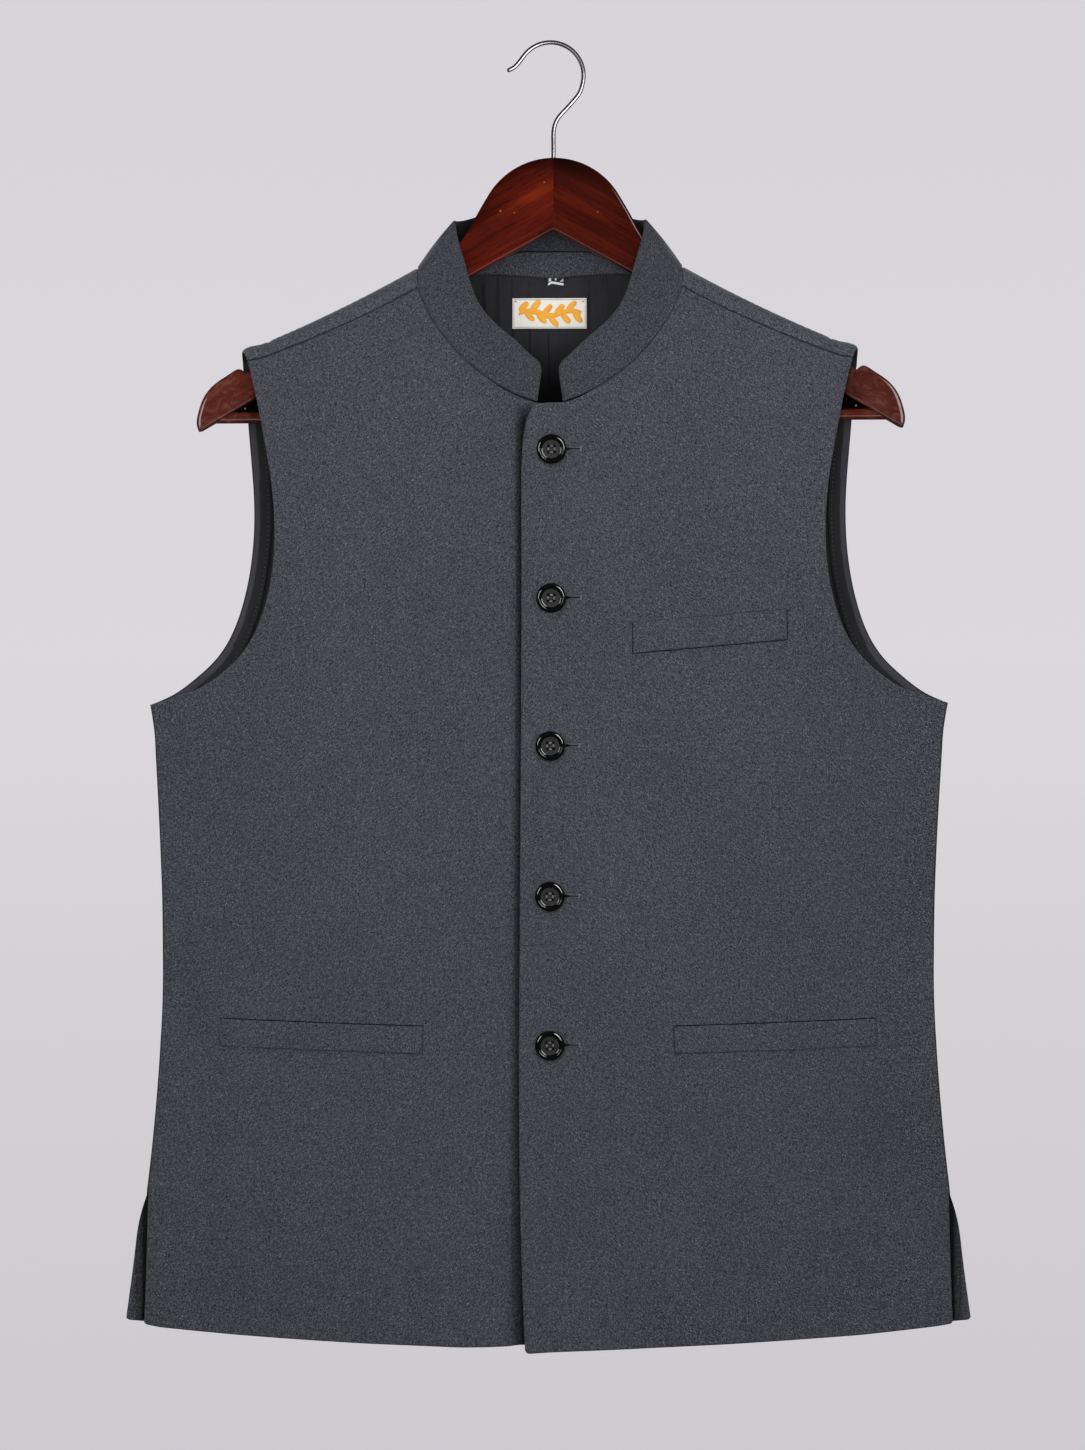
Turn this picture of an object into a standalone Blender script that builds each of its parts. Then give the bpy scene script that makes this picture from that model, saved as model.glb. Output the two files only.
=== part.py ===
"""Sleeveless jacket with a band collar, hung on a wooden hanger.

Run with: blender --background --python part.py

The origin is the inside crown of the hook. +X is the wearer's left, +Y the wearer's back and +Z up.
The functions below work in millimetres and the meshes are made in metres.

The cloth is described on a pattern that is even about its centre line. A pattern point has a distance r
from the centre line and a height z, or over the shoulder an unrolled height h: h is 0 on the crest,
grows down the front and falls below 0 down the back. hang() then places the pattern on the hanger.
"""
import math
from collections import namedtuple

import bmesh
import bpy
import numpy as np
from mathutils import Matrix, Vector

MM = 0.001

# Walls and gaps
CLOTH = 1.6
COLLAR = 2.4
LINING = 1.0
FACING = 1.0
WELT = 1.2
LABEL = 0.8
GAP = 0.3
SEAM = 0.5
PATCH_GAP = 0.7

# Shoulders: the crest falls away from the neck in a shallow curve
NECK_R = 90.0
CREST_NECK_Z = -150.7
CREST_SLOPE = 0.555
CREST_CURL = 0.0007
ROLL_DROP = 11.0
ROLL_LENGTH = 17.0
ROLL_DEPTH_OUTER = 11.2
ROLL_DEPTH_NECK = 26.0
ROLL_WIDENS_FROM = 125.0
ROLL_WIDENS_TO = 40.0
SHOULDER_R = 207.8

# Fullness of the body, front and back alike
CHEST_DEPTH = 28.0
HEM_DEPTH = 24.0
HEM_Z = -870.0
FULLNESS_FALL = 140.0
SIDE_EASE = 170.0
SIDE_POWER = 2.2
SIDE_DEPTH = CLOTH + 0.2
UNDERARM_Z = -444.3
SIDE_LIFT = 130.0
SIDE_LIFT_REACH = 235.0
BACK_SIDE_OVERHANG = 0.6

# How the jacket sits on the hanger: its middle, a small shift and tilt that fade down to the hem
BODY_X = -1.4
LEAN_X = 1.05
LEAN_TILT = 0.006
LEAN_FADE_FROM = -560.0
LEAN_FADE_RANGE = 250.0

# The right front dips behind the left one where they lap
LAP_START = 46.0
LAP_FULL = 21.0
LAP_DIP = CLOTH + 0.7
LAP_DIP_HEM = 1.6

# Collar
COLLAR_END_R = 8.75
COLLAR_SEAM = 0.85
COLLAR_SIDE_R = 64.3
COLLAR_SIDE_Z = -117.7
COLLAR_BACK_Z = -100.7
COLLAR_BACK_Y = 24.0

# Neck ring at the back
BACK_NECK_Z = -136.8
BACK_NECK_DROP = 13.9
BACK_NECK_POWER = 2.5
NECK_SIDE_R = 89.8

# Buttons
BUTTON_X = 0.9
BUTTON_Z = (-274.8, -374.0, -472.6, -573.0, -672.4)
BUTTON_DIAMETER = 20.0
BUTTON_HOLE = 2.0
BUTTON_HOLE_OFFSET = 1.8
BUTTON_DRILL_LENGTH = 12.0

# Hanger
HANGER_X = 2.0
ARM_THICKNESS = 13.0
ARM_ROUND = 3.0
DOME_RADIUS = 51.1
DOME_TOP_Z = -76.9
DOME_ARC_DEGREES = 58.0
STRETCH_RANGE = 60.0
MITRE_GAP = 0.3
ARM_REACH = 238.25
LEFT_REACH = 236.5
RIGHT_REACH = 240.0
BAR_RADIUS = 4.0
BAR_Z = -250.2
BAR_END_R = 226.0
BORE_EASE = 0.1
WIRE_RADIUS = 1.45
HOOK_RADIUS = 22.35
HOOK_ARC_START = 148.0
HOOK_ARC_END = -20.0
STEM_TOP_Z = -66.0
STEM_END_Z = -104.0
STEM_BORE_TOP_Z = -60.0

Edge = namedtuple("Edge", "r z")
Rim = namedtuple("Rim", "r z y")
Turn = namedtuple("Turn", "radius height")

# Side seam from the underarm down to the top of the vent
SIDE_SEAM = (
    Edge(268.2, UNDERARM_Z),
    Edge(266.6, -453.0),
    Edge(264.0, -482.0),
    Edge(261.0, -540.0),
    Edge(259.3, -603.0),
    Edge(261.1, -677.0),
    Edge(263.6, -711.0),
    Edge(266.8, -745.0),
    Edge(270.3, -775.0),
)
VENT_TOP_Z = SIDE_SEAM[-1].z
# Below it the front hangs straight and the back flares
FRONT_VENT = (Edge(269.8, -775.5), Edge(270.7, -811.0), Edge(271.6, -845.0), Edge(270.9, -860.0))
BACK_VENT = (Edge(270.9, -775.5), Edge(275.3, -790.0), Edge(278.6, -811.0), Edge(285.0, -858.7))
# Armholes from the underarm up to the shoulder
FRONT_ARMHOLE = (
    Edge(268.2, UNDERARM_Z),
    Edge(249.5, -438.5),
    Edge(236.6, -434.0),
    Edge(222.6, -425.5),
    Edge(203.0, -405.9),
    Edge(190.0, -377.0),
    Edge(184.4, -345.0),
    Edge(184.6, -310.0),
    Edge(187.9, -284.0),
    Edge(194.4, -250.0),
    Edge(200.4, -223.0),
    Edge(203.2, -213.2),
)
BACK_ARMHOLE = (
    Edge(268.8, UNDERARM_Z),
    Edge(254.0, -437.5),
    Edge(240.0, -427.0),
    Edge(225.0, -412.0),
    Edge(208.4, -375.0),
    Edge(202.3, -340.0),
    Edge(201.3, -305.0),
    Edge(202.8, -280.0),
    Edge(204.8, -253.0),
    Edge(207.4, -218.5),
)
# Front edges from the hem up to the neck; a minus r is past the centre line
LEFT_FRONT_EDGE = (
    Edge(-15.6, -878.4),
    Edge(-18.2, -808.0),
    Edge(-19.0, -575.0),
    Edge(-19.2, -315.0),
    Edge(-18.4, -273.0),
    Edge(-15.0, -253.5),
    Edge(-10.9, -244.6),
)
RIGHT_FRONT_EDGE = (
    Edge(-16.0, -873.9),
    Edge(-17.4, -800.0),
    Edge(-18.0, -575.0),
    Edge(-18.0, -315.0),
    Edge(-17.0, -275.0),
    Edge(-14.5, -260.0),
    Edge(-10.5, -250.0),
)
# Neck seams of the fronts: the free end under the collar gap, then the seam up to the shoulder
LEFT_NECK_END = (Edge(-10.9, -244.6), Edge(-1.0, -243.5))
RIGHT_NECK_END = (Edge(-10.5, -250.0), Edge(-1.0, -246.4))
NECK_SEAM = (
    Edge(COLLAR_END_R, -243.3),
    Edge(25.2, -237.0),
    Edge(40.9, -227.7),
    Edge(54.5, -217.3),
    Edge(68.9, -202.0),
    Edge(82.0, -182.5),
    Edge(88.9, -165.4),
)
LEFT_HEM = (
    Edge(-15.6, -878.4),
    Edge(47.7, -875.9),
    Edge(120.0, -872.2),
    Edge(208.4, -866.7),
    Edge(262.5, -861.5),
    Edge(270.9, -860.0),
)
RIGHT_HEM = (
    Edge(-16.0, -873.9),
    Edge(59.1, -874.4),
    Edge(120.0, -871.9),
    Edge(209.7, -866.5),
    Edge(261.6, -862.3),
    Edge(270.9, -860.3),
)
BACK_HEM = (Edge(0.0, -867.0), Edge(140.0, -865.0), Edge(285.0, -858.7))
# Free top edge of the collar from its rounded front end to the side
COLLAR_TOP = (
    Rim(5.3, -221.0, -25.0),
    Rim(6.7, -216.6, -24.6),
    Rim(10.2, -213.0, -24.0),
    Rim(23.2, -200.8, -22.5),
    Rim(38.2, -187.5, -19.5),
    Rim(47.8, -174.5, -16.5),
    Rim(57.2, -146.3, -10.5),
    Rim(62.8, -126.3, -4.5),
    Rim(COLLAR_SIDE_R, COLLAR_SIDE_Z, 0.0),
)
# Depth of the back neck facing below the neck seam
NECK_FACING_R = 62.0
NECK_FACING_EASE = 0.4
NECK_FACING_START = 1.2
NECK_FACING_DEPTH = (Edge(0.0, 17.6), Edge(50.0, 11.6), Edge(NECK_FACING_R, 10.0))
ARMHOLE_FACING_WIDTH = 12.0
ARMHOLE_FACING_INSET = 0.8
ARMHOLE_FACING_START = 9.0
# The lining stops short of the facings, the side seams and the hem
LINING_HEM_Z = -838.0
LINING_SIDE_INSET = 14.0
LINING_SIDE_TOP_Z = -495.0
LINING_FACING_GAP = 1.8
LINING_NECK_GAP = 0.8
LINING_CORNER_SHARE = 0.07

# Corners of the pocket welts on the pattern: top inner, top outer, bottom outer, bottom inner
CHEST_WELT = (Edge(55.4, -390.5), Edge(157.9, -382.2), Edge(158.3, -402.0), Edge(55.8, -410.9))
HIP_WELT = (Edge(83.7, -659.8), Edge(219.7, -655.5), Edge(219.9, -673.5), Edge(84.6, -677.9))

# Outer end of a hanger arm: notch, shoulder of the tip, rounded nose and bottom corner
ARM_TOP_END = Edge(203.0, -218.8)
ARM_TIP = (
    Edge(205.6, -220.6),
    Edge(209.4, -217.9),
    Edge(216.0, -220.8),
    Edge(225.4, -227.1),
    Edge(233.2, -236.0),
    Edge(237.2, -246.5),
    Edge(238.2, -255.8),
    Edge(237.0, -259.6),
)
ARM_NECK = (Edge(51.6, -115.0), Edge(61.0, -131.0), Edge(73.0, -143.3), Edge(90.0, -153.6))
UNDERSIDE_APEX_Z = -125.7
UNDERSIDE_SLOPE = 0.548
UNDERSIDE_BEND = 0.000085
UNDERSIDE_END_R = 234.6

# Labels inside the back: top inner, top outer, bottom outer, bottom inner
MAIN_LABEL = (Edge(-25.6, -168.4), Edge(25.0, -168.4), Edge(25.0, -189.2), Edge(-25.6, -189.2))
SIZE_TAB = (Edge(-1.9, -157.6), Edge(9.7, -157.6), Edge(9.7, -163.0), Edge(-1.9, -163.0))

# The hook below and before its round part
HOOK_NECK = (
    Edge(21.0, -28.6),
    Edge(16.0, -37.4),
    Edge(9.9, -44.2),
    Edge(4.9, -49.8),
    Edge(2.4, -56.0),
)
HOOK_NOSE = (Edge(-28.0, -17.3), Edge(-24.2, -15.4), Edge(-21.9, -12.9))


# ---------------------------------------------------------------- curves

CURVE_SAMPLES = 40
FINE = 120


def smoothstep(t):
    t = min(max(t, 0.0), 1.0)
    return t * t * (3.0 - 2.0 * t)


def cubic_through(points, count):
    """count points, evenly spaced, on a natural cubic curve through the given points."""
    given = np.array([tuple(p) for p in points], dtype=float)
    steps = np.linalg.norm(np.diff(given, axis=0), axis=1)
    knots = np.concatenate(([0.0], np.cumsum(steps)))
    size = len(given)
    if size < 3:
        bends = np.zeros_like(given)
    else:
        system = np.eye(size)
        right = np.zeros_like(given)
        for i in range(1, size - 1):
            before, after = steps[i - 1], steps[i]
            system[i, i - 1 : i + 2] = before, 2.0 * (before + after), after
            rise = (given[i + 1] - given[i]) / after - (given[i] - given[i - 1]) / before
            right[i] = 6.0 * rise
        bends = np.linalg.solve(system, right)

    def at(s):
        i = min(int(np.searchsorted(knots, s, side="right")) - 1, size - 2)
        span = knots[i + 1] - knots[i]
        a = (knots[i + 1] - s) / span
        b = 1.0 - a
        curl = ((a**3 - a) * bends[i] + (b**3 - b) * bends[i + 1]) * span * span / 6.0
        return a * given[i] + b * given[i + 1] + curl

    fine = np.array([at(s) for s in np.linspace(0.0, knots[-1], CURVE_SAMPLES * size)])
    return evenly(fine, count)


def evenly(path, count):
    """count points at equal lengths along a path of straight pieces."""
    path = np.asarray(path, dtype=float)
    lengths = np.concatenate(([0.0], np.cumsum(np.linalg.norm(np.diff(path, axis=0), axis=1))))
    wanted = np.linspace(0.0, lengths[-1], count)
    return np.column_stack([np.interp(wanted, lengths, column) for column in path.T])


def joined(*runs):
    """Runs of points end to end, without the point that each shares with the one before it."""
    whole = [runs[0]]
    for run in runs[1:]:
        whole.append(run[1:])
    return np.vstack(whole)


def height_on(edge, r):
    """Height of a table of edges at distance r, the table going outward."""
    return float(np.interp(r, [p.r for p in edge], [p.z for p in edge]))


def inset(path, distance):
    """A path moved sideways, to its left as it goes."""
    path = np.asarray(path, dtype=float)
    along = np.gradient(path, axis=0)
    along /= np.linalg.norm(along, axis=1)[:, None]
    return path + distance * np.column_stack((-along[:, 1], along[:, 0]))


# ---------------------------------------------------------------- the jacket's form

NORMAL_STEP = 0.5


def crest_z(r):
    q = abs(r) - NECK_R
    return CREST_NECK_Z - CREST_SLOPE * q + CREST_CURL * q * q


def roll_depth(r):
    """Half depth of the roll over the shoulder, wide at the neck."""
    spread = (ROLL_WIDENS_FROM - abs(r)) / (ROLL_WIDENS_FROM - ROLL_WIDENS_TO)
    return ROLL_DEPTH_OUTER + (ROLL_DEPTH_NECK - ROLL_DEPTH_OUTER) * smoothstep(spread)


def unroll(r, z):
    """Unrolled distance below the crest of a point at height z."""
    drop = crest_z(r) - z
    if drop >= ROLL_DROP:
        return ROLL_LENGTH + drop - ROLL_DROP
    return ROLL_LENGTH * math.acos(1.0 - max(drop, 0.0) / ROLL_DROP) / (math.pi / 2.0)


def side_r(z, vent):
    """Distance of the side from the centre line, with the vent edge of a front or of the back."""
    table = sorted(SIDE_SEAM + vent, key=lambda edge: edge.z)
    return float(np.interp(z, [p.z for p in table], [p.r for p in table]))


def half_depth(r, z, vent):
    """Distance of the outer face from the middle plane, below the shoulder roll."""
    r = abs(r)
    below = crest_z(r) - ROLL_DROP - z
    rise = smoothstep((z - HEM_Z) / (UNDERARM_Z - HEM_Z))
    full = HEM_DEPTH + (CHEST_DEPTH - HEM_DEPTH) * rise
    q = min(max(below / FULLNESS_FALL, 0.0), 1.0)
    start = roll_depth(r)
    body = start + (full - start) * (1.0 - (1.0 - q) ** 2)
    inward = side_r(z, vent) - r + SIDE_LIFT * smoothstep((z - UNDERARM_Z) / SIDE_LIFT_REACH)
    s = min(max(inward / SIDE_EASE, 0.0), 1.0)
    return SIDE_DEPTH + (body - SIDE_DEPTH) * (1.0 - (1.0 - s) ** SIDE_POWER)


def on_form(r, h, vent):
    """Point of the outer face at distance r and unrolled height h, on the front if h is above 0."""
    side = -1.0 if h > 0.0 else 1.0
    run = abs(h)
    if run <= ROLL_LENGTH:
        angle = run / ROLL_LENGTH * math.pi / 2.0
        depth = roll_depth(r) * math.sin(angle)
        return Vector((r, side * depth, crest_z(r) - ROLL_DROP * (1.0 - math.cos(angle))))
    z = crest_z(r) - ROLL_DROP - (run - ROLL_LENGTH)
    return Vector((r, side * half_depth(r, z, vent), z))


def lap_dip(r, z):
    """How far the right front dips back where the left one laps over it."""
    near = smoothstep((LAP_START - r) / (LAP_START - LAP_FULL))
    low = smoothstep((UNDERARM_Z - z) / (UNDERARM_Z - HEM_Z))
    return near * (LAP_DIP + LAP_DIP_HEM * low)


def front_point(r, h):
    return on_form(r, h, FRONT_VENT)


def under_front_point(r, h):
    point = on_form(r, h, FRONT_VENT)
    point.y += lap_dip(r, point.z)
    return point


def back_point(r, h):
    return on_form(r, h, BACK_VENT)


def moved_in(form, r, h, distance):
    """Point of a form moved along its normal to the inside of the jacket."""
    across = form(r + NORMAL_STEP, h) - form(r - NORMAL_STEP, h)
    up = form(r, h + NORMAL_STEP) - form(r, h - NORMAL_STEP)
    return form(r, h) + across.cross(up).normalized() * distance


def hang(point, side):
    """Pattern point on the hanger, in metres, on the wearer's left (side 1) or right (side -1)."""
    hold = smoothstep((point.z - LEAN_FADE_FROM) / LEAN_FADE_RANGE)
    x = side * point.x + BODY_X + LEAN_X * hold
    return Vector((x, point.y, point.z + LEAN_TILT * hold * x)) * MM


# ---------------------------------------------------------------- meshes


def clear_objects():
    for old in list(bpy.data.objects):
        bpy.data.objects.remove(old, do_unlink=True)


def new_collection(name, hidden=False):
    collection = bpy.data.collections.new(name)
    bpy.context.scene.collection.children.link(collection)
    collection.hide_render = hidden
    return collection


def material(name, colour, roughness, metallic=0.0):
    made = bpy.data.materials.get(name)
    if made:
        return made
    made = bpy.data.materials.new(name)
    made.use_nodes = True
    shader = made.node_tree.nodes["Principled BSDF"]
    shader.inputs["Base Color"].default_value = (*colour, 1.0)
    shader.inputs["Roughness"].default_value = roughness
    shader.inputs["Metallic"].default_value = metallic
    made.diffuse_color = (*colour, 1.0)
    return made


def add_object(name, mesh, collection, look):
    thing = bpy.data.objects.new(name, mesh)
    collection.objects.link(thing)
    if look:
        mesh.materials.append(look)
    return thing


def mesh_of(bm, name):
    mesh = bpy.data.meshes.new(name)
    bm.to_mesh(mesh)
    bm.free()
    return mesh


def add_grid(bm, rows):
    """Faces between rows of points. A face normal is (along a row) x (from a row to the next)."""
    made = [[bm.verts.new(point) for point in row] for row in rows]
    for low, high in zip(made, made[1:]):
        for i in range(len(low) - 1):
            bm.faces.new((low[i], low[i + 1], high[i + 1], high[i]))


def shell(name, grids, thickness, collection, look):
    """A wall of the given thickness to the back of grids whose shared points are joined."""
    bm = bmesh.new()
    for rows in grids:
        add_grid(bm, rows)
    bmesh.ops.remove_doubles(bm, verts=bm.verts[:], dist=0.01 * MM)
    thing = add_object(name, mesh_of(bm, name), collection, look)
    thing.data.shade_smooth()
    wall = thing.modifiers.new("wall", "SOLIDIFY")
    wall.thickness = thickness * MM
    wall.offset = -1.0
    wall.use_even_offset = True
    return thing


def rows_between(outer, inner, columns):
    """Rows of pattern points from an outer path to an inner one, straight in r and h."""
    shares = np.linspace(0.0, 1.0, columns + 1)
    return [[a + (b - a) * t for t in shares] for a, b in zip(outer, inner)]


def unrolled(path, front):
    """A path of heights as a path of unrolled heights, on the front or the back."""
    sign = 1.0 if front else -1.0
    return np.array([(r, sign * unroll(r, z)) for r, z in path])


def placed(rows, form, side, inward=0.0, flip=False):
    """Rows of pattern points on the form and the hanger. flip turns the faces over."""
    out = []
    for row in rows:
        points = [hang(moved_in(form, r, h, inward) if inward else form(r, h), side) for r, h in row]
        out.append(points[::-1] if (side < 0) != flip else points)
    return out


# ---------------------------------------------------------------- fronts and back

VENT_ROWS = 3
SIDE_ROWS = 8
ARMHOLE_ROWS = 10
SHOULDER_ROWS = 7
FRONT_COLUMNS = 11
BACK_COLUMNS = 10
SHOULDER_SPLIT_Z = -300.0


def hem_follows(rows, hem, count):
    """Bends the lowest rows to the curve of the hem, less and less up to the row numbered count."""
    straight = [point.copy() for point in rows[0]]
    for number in range(count):
        fade = 1.0 - number / count
        for point, base in zip(rows[number], straight):
            point[1] += fade * (height_on(hem, base[0]) - base[1])


def front_rows(front_edge, neck_end, hem):
    """Pattern rows of a front as heights, from the hem to the shoulder seam."""
    armhole = cubic_through(FRONT_ARMHOLE, FINE)
    split = int(np.argmin(np.abs(armhole[:, 1] - SHOULDER_SPLIT_Z)))
    outer = joined(
        evenly(FRONT_VENT[::-1], VENT_ROWS + 1),
        cubic_through(SIDE_SEAM[::-1], SIDE_ROWS + 1),
        evenly(armhole[: split + 1], ARMHOLE_ROWS + 1),
        evenly(armhole[split:], SHOULDER_ROWS + 1),
    )
    edge = cubic_through(front_edge, 2 * FINE)
    at_vent = int(np.argmin(np.abs(edge[:, 1] - VENT_TOP_Z)))
    at_underarm = int(np.argmin(np.abs(edge[:, 1] - UNDERARM_Z)))
    neck = joined(np.array(neck_end), cubic_through(neck_end[1:] + NECK_SEAM, FINE))
    inner = joined(
        evenly(edge[: at_vent + 1], VENT_ROWS + 1),
        evenly(edge[at_vent : at_underarm + 1], SIDE_ROWS + 1),
        evenly(edge[at_underarm:], ARMHOLE_ROWS + 1),
        evenly(neck, SHOULDER_ROWS + 1),
    )
    rows = rows_between(outer, inner, FRONT_COLUMNS)
    hem_follows(rows, hem, VENT_ROWS)
    return rows


def make_front(name, side, form, edges, collection, look):
    rows = [unrolled(row, True) for row in front_rows(*edges)]
    rows[-1] = [(r, seam_h(r)) for r, _ in rows[-1]]
    grid = placed(rows, form, side, flip=True)
    return shell(name, [grid], CLOTH, collection, look)


def ring_z(r):
    """Height of the neck seam across the back."""
    return BACK_NECK_Z - BACK_NECK_DROP * (abs(r) / NECK_R) ** BACK_NECK_POWER


def back_ring(count):
    """Neck seam from the centre back to the side of the neck, unrolled."""
    path = []
    for r in np.linspace(0.0, NECK_SIDE_R, FINE):
        path.append((r, -unroll(r, ring_z(r))))
    path[-1] = (NECK_SIDE_R, 0.0)
    return evenly(path, count)


def seam_h(r):
    """Unrolled height of the shoulder seam, which lies forward of the crest."""
    neck, shoulder = NECK_SEAM[-1], FRONT_ARMHOLE[-1]
    t = (r - neck.r) / (shoulder.r - neck.r)
    at_neck, at_shoulder = unroll(*neck), unroll(*shoulder)
    return at_neck + (at_shoulder - at_neck) * t


def back_outer():
    """Outer edge of half the back, from the hem up and over the shoulder, unrolled."""
    below = joined(
        cubic_through(BACK_VENT[::-1], VENT_ROWS + 1),
        cubic_through(SIDE_SEAM[::-1], SIDE_ROWS + 1) + np.array((BACK_SIDE_OVERHANG, 0.0)),
        cubic_through(BACK_ARMHOLE, ARMHOLE_ROWS + 5),
    )
    top, shoulder = BACK_ARMHOLE[-1], FRONT_ARMHOLE[-1]
    roll = [(top.r, -unroll(*top)), (SHOULDER_R, 0.0), (shoulder.r, seam_h(shoulder.r) - SEAM)]
    return joined(unrolled(below, False), cubic_through(roll, 7))


def back_inner():
    """Inner edge of half the back: the centre line, then the neck seam over the shoulder, unrolled."""
    centre = joined(
        evenly(((0.0, BACK_HEM[0].z), (0.0, VENT_TOP_Z)), VENT_ROWS + 1),
        evenly(((0.0, VENT_TOP_Z), (0.0, UNDERARM_Z)), SIDE_ROWS + 1),
        evenly(((0.0, UNDERARM_Z), (0.0, BACK_NECK_Z)), ARMHOLE_ROWS + 1),
    )
    ring = back_ring(8)
    neck = NECK_SEAM[-1]
    over = evenly((ring[-1], (neck.r, seam_h(neck.r) - SEAM)), 4)
    return joined(unrolled(centre, False), ring, over)


def make_back(collection, look):
    rows = rows_between(back_outer(), back_inner(), BACK_COLUMNS)
    hem = [Edge(p.r, -unroll(p.r, p.z)) for p in BACK_HEM]
    hem_follows(rows, hem, VENT_ROWS)
    grids = [placed(rows, back_point, side) for side in (1, -1)]
    return shell("back", grids, CLOTH, collection, look)


# ---------------------------------------------------------------- collar


def collar_seam(count_front, count_back):
    """Outer points of the neck seam on the pattern, from the collar's front end to the centre back."""
    neck = NECK_SEAM[-1]
    over = evenly(((neck.r, seam_h(neck.r)), (NECK_SIDE_R, 0.0)), count_back)
    path = [front_point(r, unroll(r, z)) for r, z in cubic_through(NECK_SEAM, FINE)]
    path += [back_point(r, h) for r, h in over[1:]]
    front = evenly(path, count_front)
    back = evenly([back_point(r, h) for r, h in back_ring(FINE)[::-1]], count_back)
    return joined(front, back)


def collar_top(count_front, count_back):
    front = cubic_through(COLLAR_TOP, count_front)[:, (0, 2, 1)]
    quarter = []
    for angle in np.linspace(0.0, math.pi / 2.0, FINE):
        z = COLLAR_SIDE_Z + (COLLAR_BACK_Z - COLLAR_SIDE_Z) * math.sin(angle) ** 3
        quarter.append((COLLAR_SIDE_R * math.cos(angle), COLLAR_BACK_Y * math.sin(angle), z))
    return joined(front, evenly(quarter, count_back))


def make_collar(collection, look):
    counts = (14, 9)
    heights = (0.0, 0.35, 0.7, 1.0)
    halves = []
    for low, high in zip(collar_seam(*counts), collar_top(*counts)):
        up = Vector(high - low)
        base = Vector(low) + up.normalized() * COLLAR_SEAM
        halves.append([base.lerp(Vector(high), t) for t in heights])
    grids = []
    for side in (1, -1):
        columns = halves if side > 0 else halves[::-1]
        grids.append([[hang(point, side) for point in column] for column in columns])
    shell("collar", grids, COLLAR, collection, look)


# ---------------------------------------------------------------- facings, lining, labels, welts


def facing_depth(r):
    """Depth of the back neck facing below the seam."""
    return height_on(NECK_FACING_DEPTH, abs(r))


def make_neck_facing(collection, look):
    inward = CLOTH + PATCH_GAP + NECK_FACING_EASE
    columns = np.linspace(NECK_FACING_R, -NECK_FACING_R, 15)
    rows = []
    for share in (1.0, 0.5, 0.0):
        row = []
        for r in columns:
            z = ring_z(r) - NECK_FACING_START - share * facing_depth(r)
            point = moved_in(back_point, r, -unroll(r, z), inward)
            row.append(hang(point, 1))
        rows.append(row)
    return shell("back_neck_facing", [rows], FACING, collection, look)


def armhole_band(near, far, count):
    """Rows across a band along the back armhole, from near to far inside its edge."""
    path = cubic_through(BACK_ARMHOLE, FINE)
    start = int(np.argmax(path[:, 0] < BACK_ARMHOLE[0].r - ARMHOLE_FACING_START))
    path = path[start:]
    return evenly(inset(path, near), count), evenly(inset(path, far), count)


def make_armhole_facing(name, side, collection, look):
    outer, inner = armhole_band(ARMHOLE_FACING_INSET, ARMHOLE_FACING_WIDTH, 16)
    rows = rows_between(unrolled(outer, False), unrolled(inner, False), 2)
    grid = placed(rows, back_point, side, inward=CLOTH + PATCH_GAP)
    return shell(name, [grid], FACING, collection, look)



def lining_edges():
    """Outer and inner edges of half the lining, as heights."""
    _, armhole = armhole_band(ARMHOLE_FACING_INSET, ARMHOLE_FACING_WIDTH + LINING_FACING_GAP, FINE)
    seam = [(r - LINING_SIDE_INSET, z) for r, z in cubic_through(SIDE_SEAM[::-1], FINE)]
    seam = [point for point in seam if point[1] < LINING_SIDE_TOP_Z]
    side = evenly([(seam[0][0], LINING_HEM_Z)] + seam, 10)
    cut_across = armhole[int(LINING_CORNER_SHARE * FINE) :]
    outer = joined(side, evenly(np.vstack((side[-1:], cut_across)), 13))
    below_facing = NECK_FACING_START + LINING_NECK_GAP
    edge = [(r, ring_z(r) - below_facing - facing_depth(r)) for r in np.linspace(0.0, NECK_FACING_R, 7)]
    centre_top = edge[0][1]
    centre = joined(
        evenly(((0.0, LINING_HEM_Z), (0.0, UNDERARM_Z)), 10),
        evenly(((0.0, UNDERARM_Z), (0.0, centre_top)), 7),
    )
    inner = joined(centre, evenly(edge, len(outer) - len(centre) + 1))
    return outer, inner


def make_lining(collection, look):
    outer, inner = lining_edges()
    rows = rows_between(unrolled(outer, False), unrolled(inner, False), 7)
    grids = [placed(rows, back_point, side, inward=CLOTH + PATCH_GAP) for side in (1, -1)]
    return shell("back_lining", grids, LINING, collection, look)


def patch(form, corners, columns, inward, side, flip):
    """Rows between four corners, top inner, top outer, bottom outer, bottom inner, lying on a form."""
    top = evenly((corners[1], corners[0]), columns + 1)
    bottom = evenly((corners[2], corners[3]), columns + 1)
    front = form is not back_point
    rows = [unrolled(bottom, front), unrolled((top + bottom) / 2.0, front), unrolled(top, front)]
    return placed(rows, form, side, inward=inward, flip=flip)


def make_welt(name, side, form, corners, collection, look):
    grid = patch(form, corners, 8, -(PATCH_GAP + WELT), side, True)
    return shell(name, [grid], WELT, collection, look)


def make_label(name, corners, inward, collection, look):
    grid = patch(back_point, corners, 4, inward, 1, False)
    return shell(name, [grid], LABEL, collection, look)


# ---------------------------------------------------------------- buttons

BUTTON_PROFILE = (
    Turn(0.0, 2.2),
    Turn(5.8, 2.2),
    Turn(6.9, 2.8),
    Turn(8.2, 3.5),
    Turn(9.4, 3.2),
    Turn(10.0, 2.0),
    Turn(9.2, 0.6),
    Turn(8.0, 0.0),
    Turn(0.0, 0.0),
)
BUTTON_STEPS = 24


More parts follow.
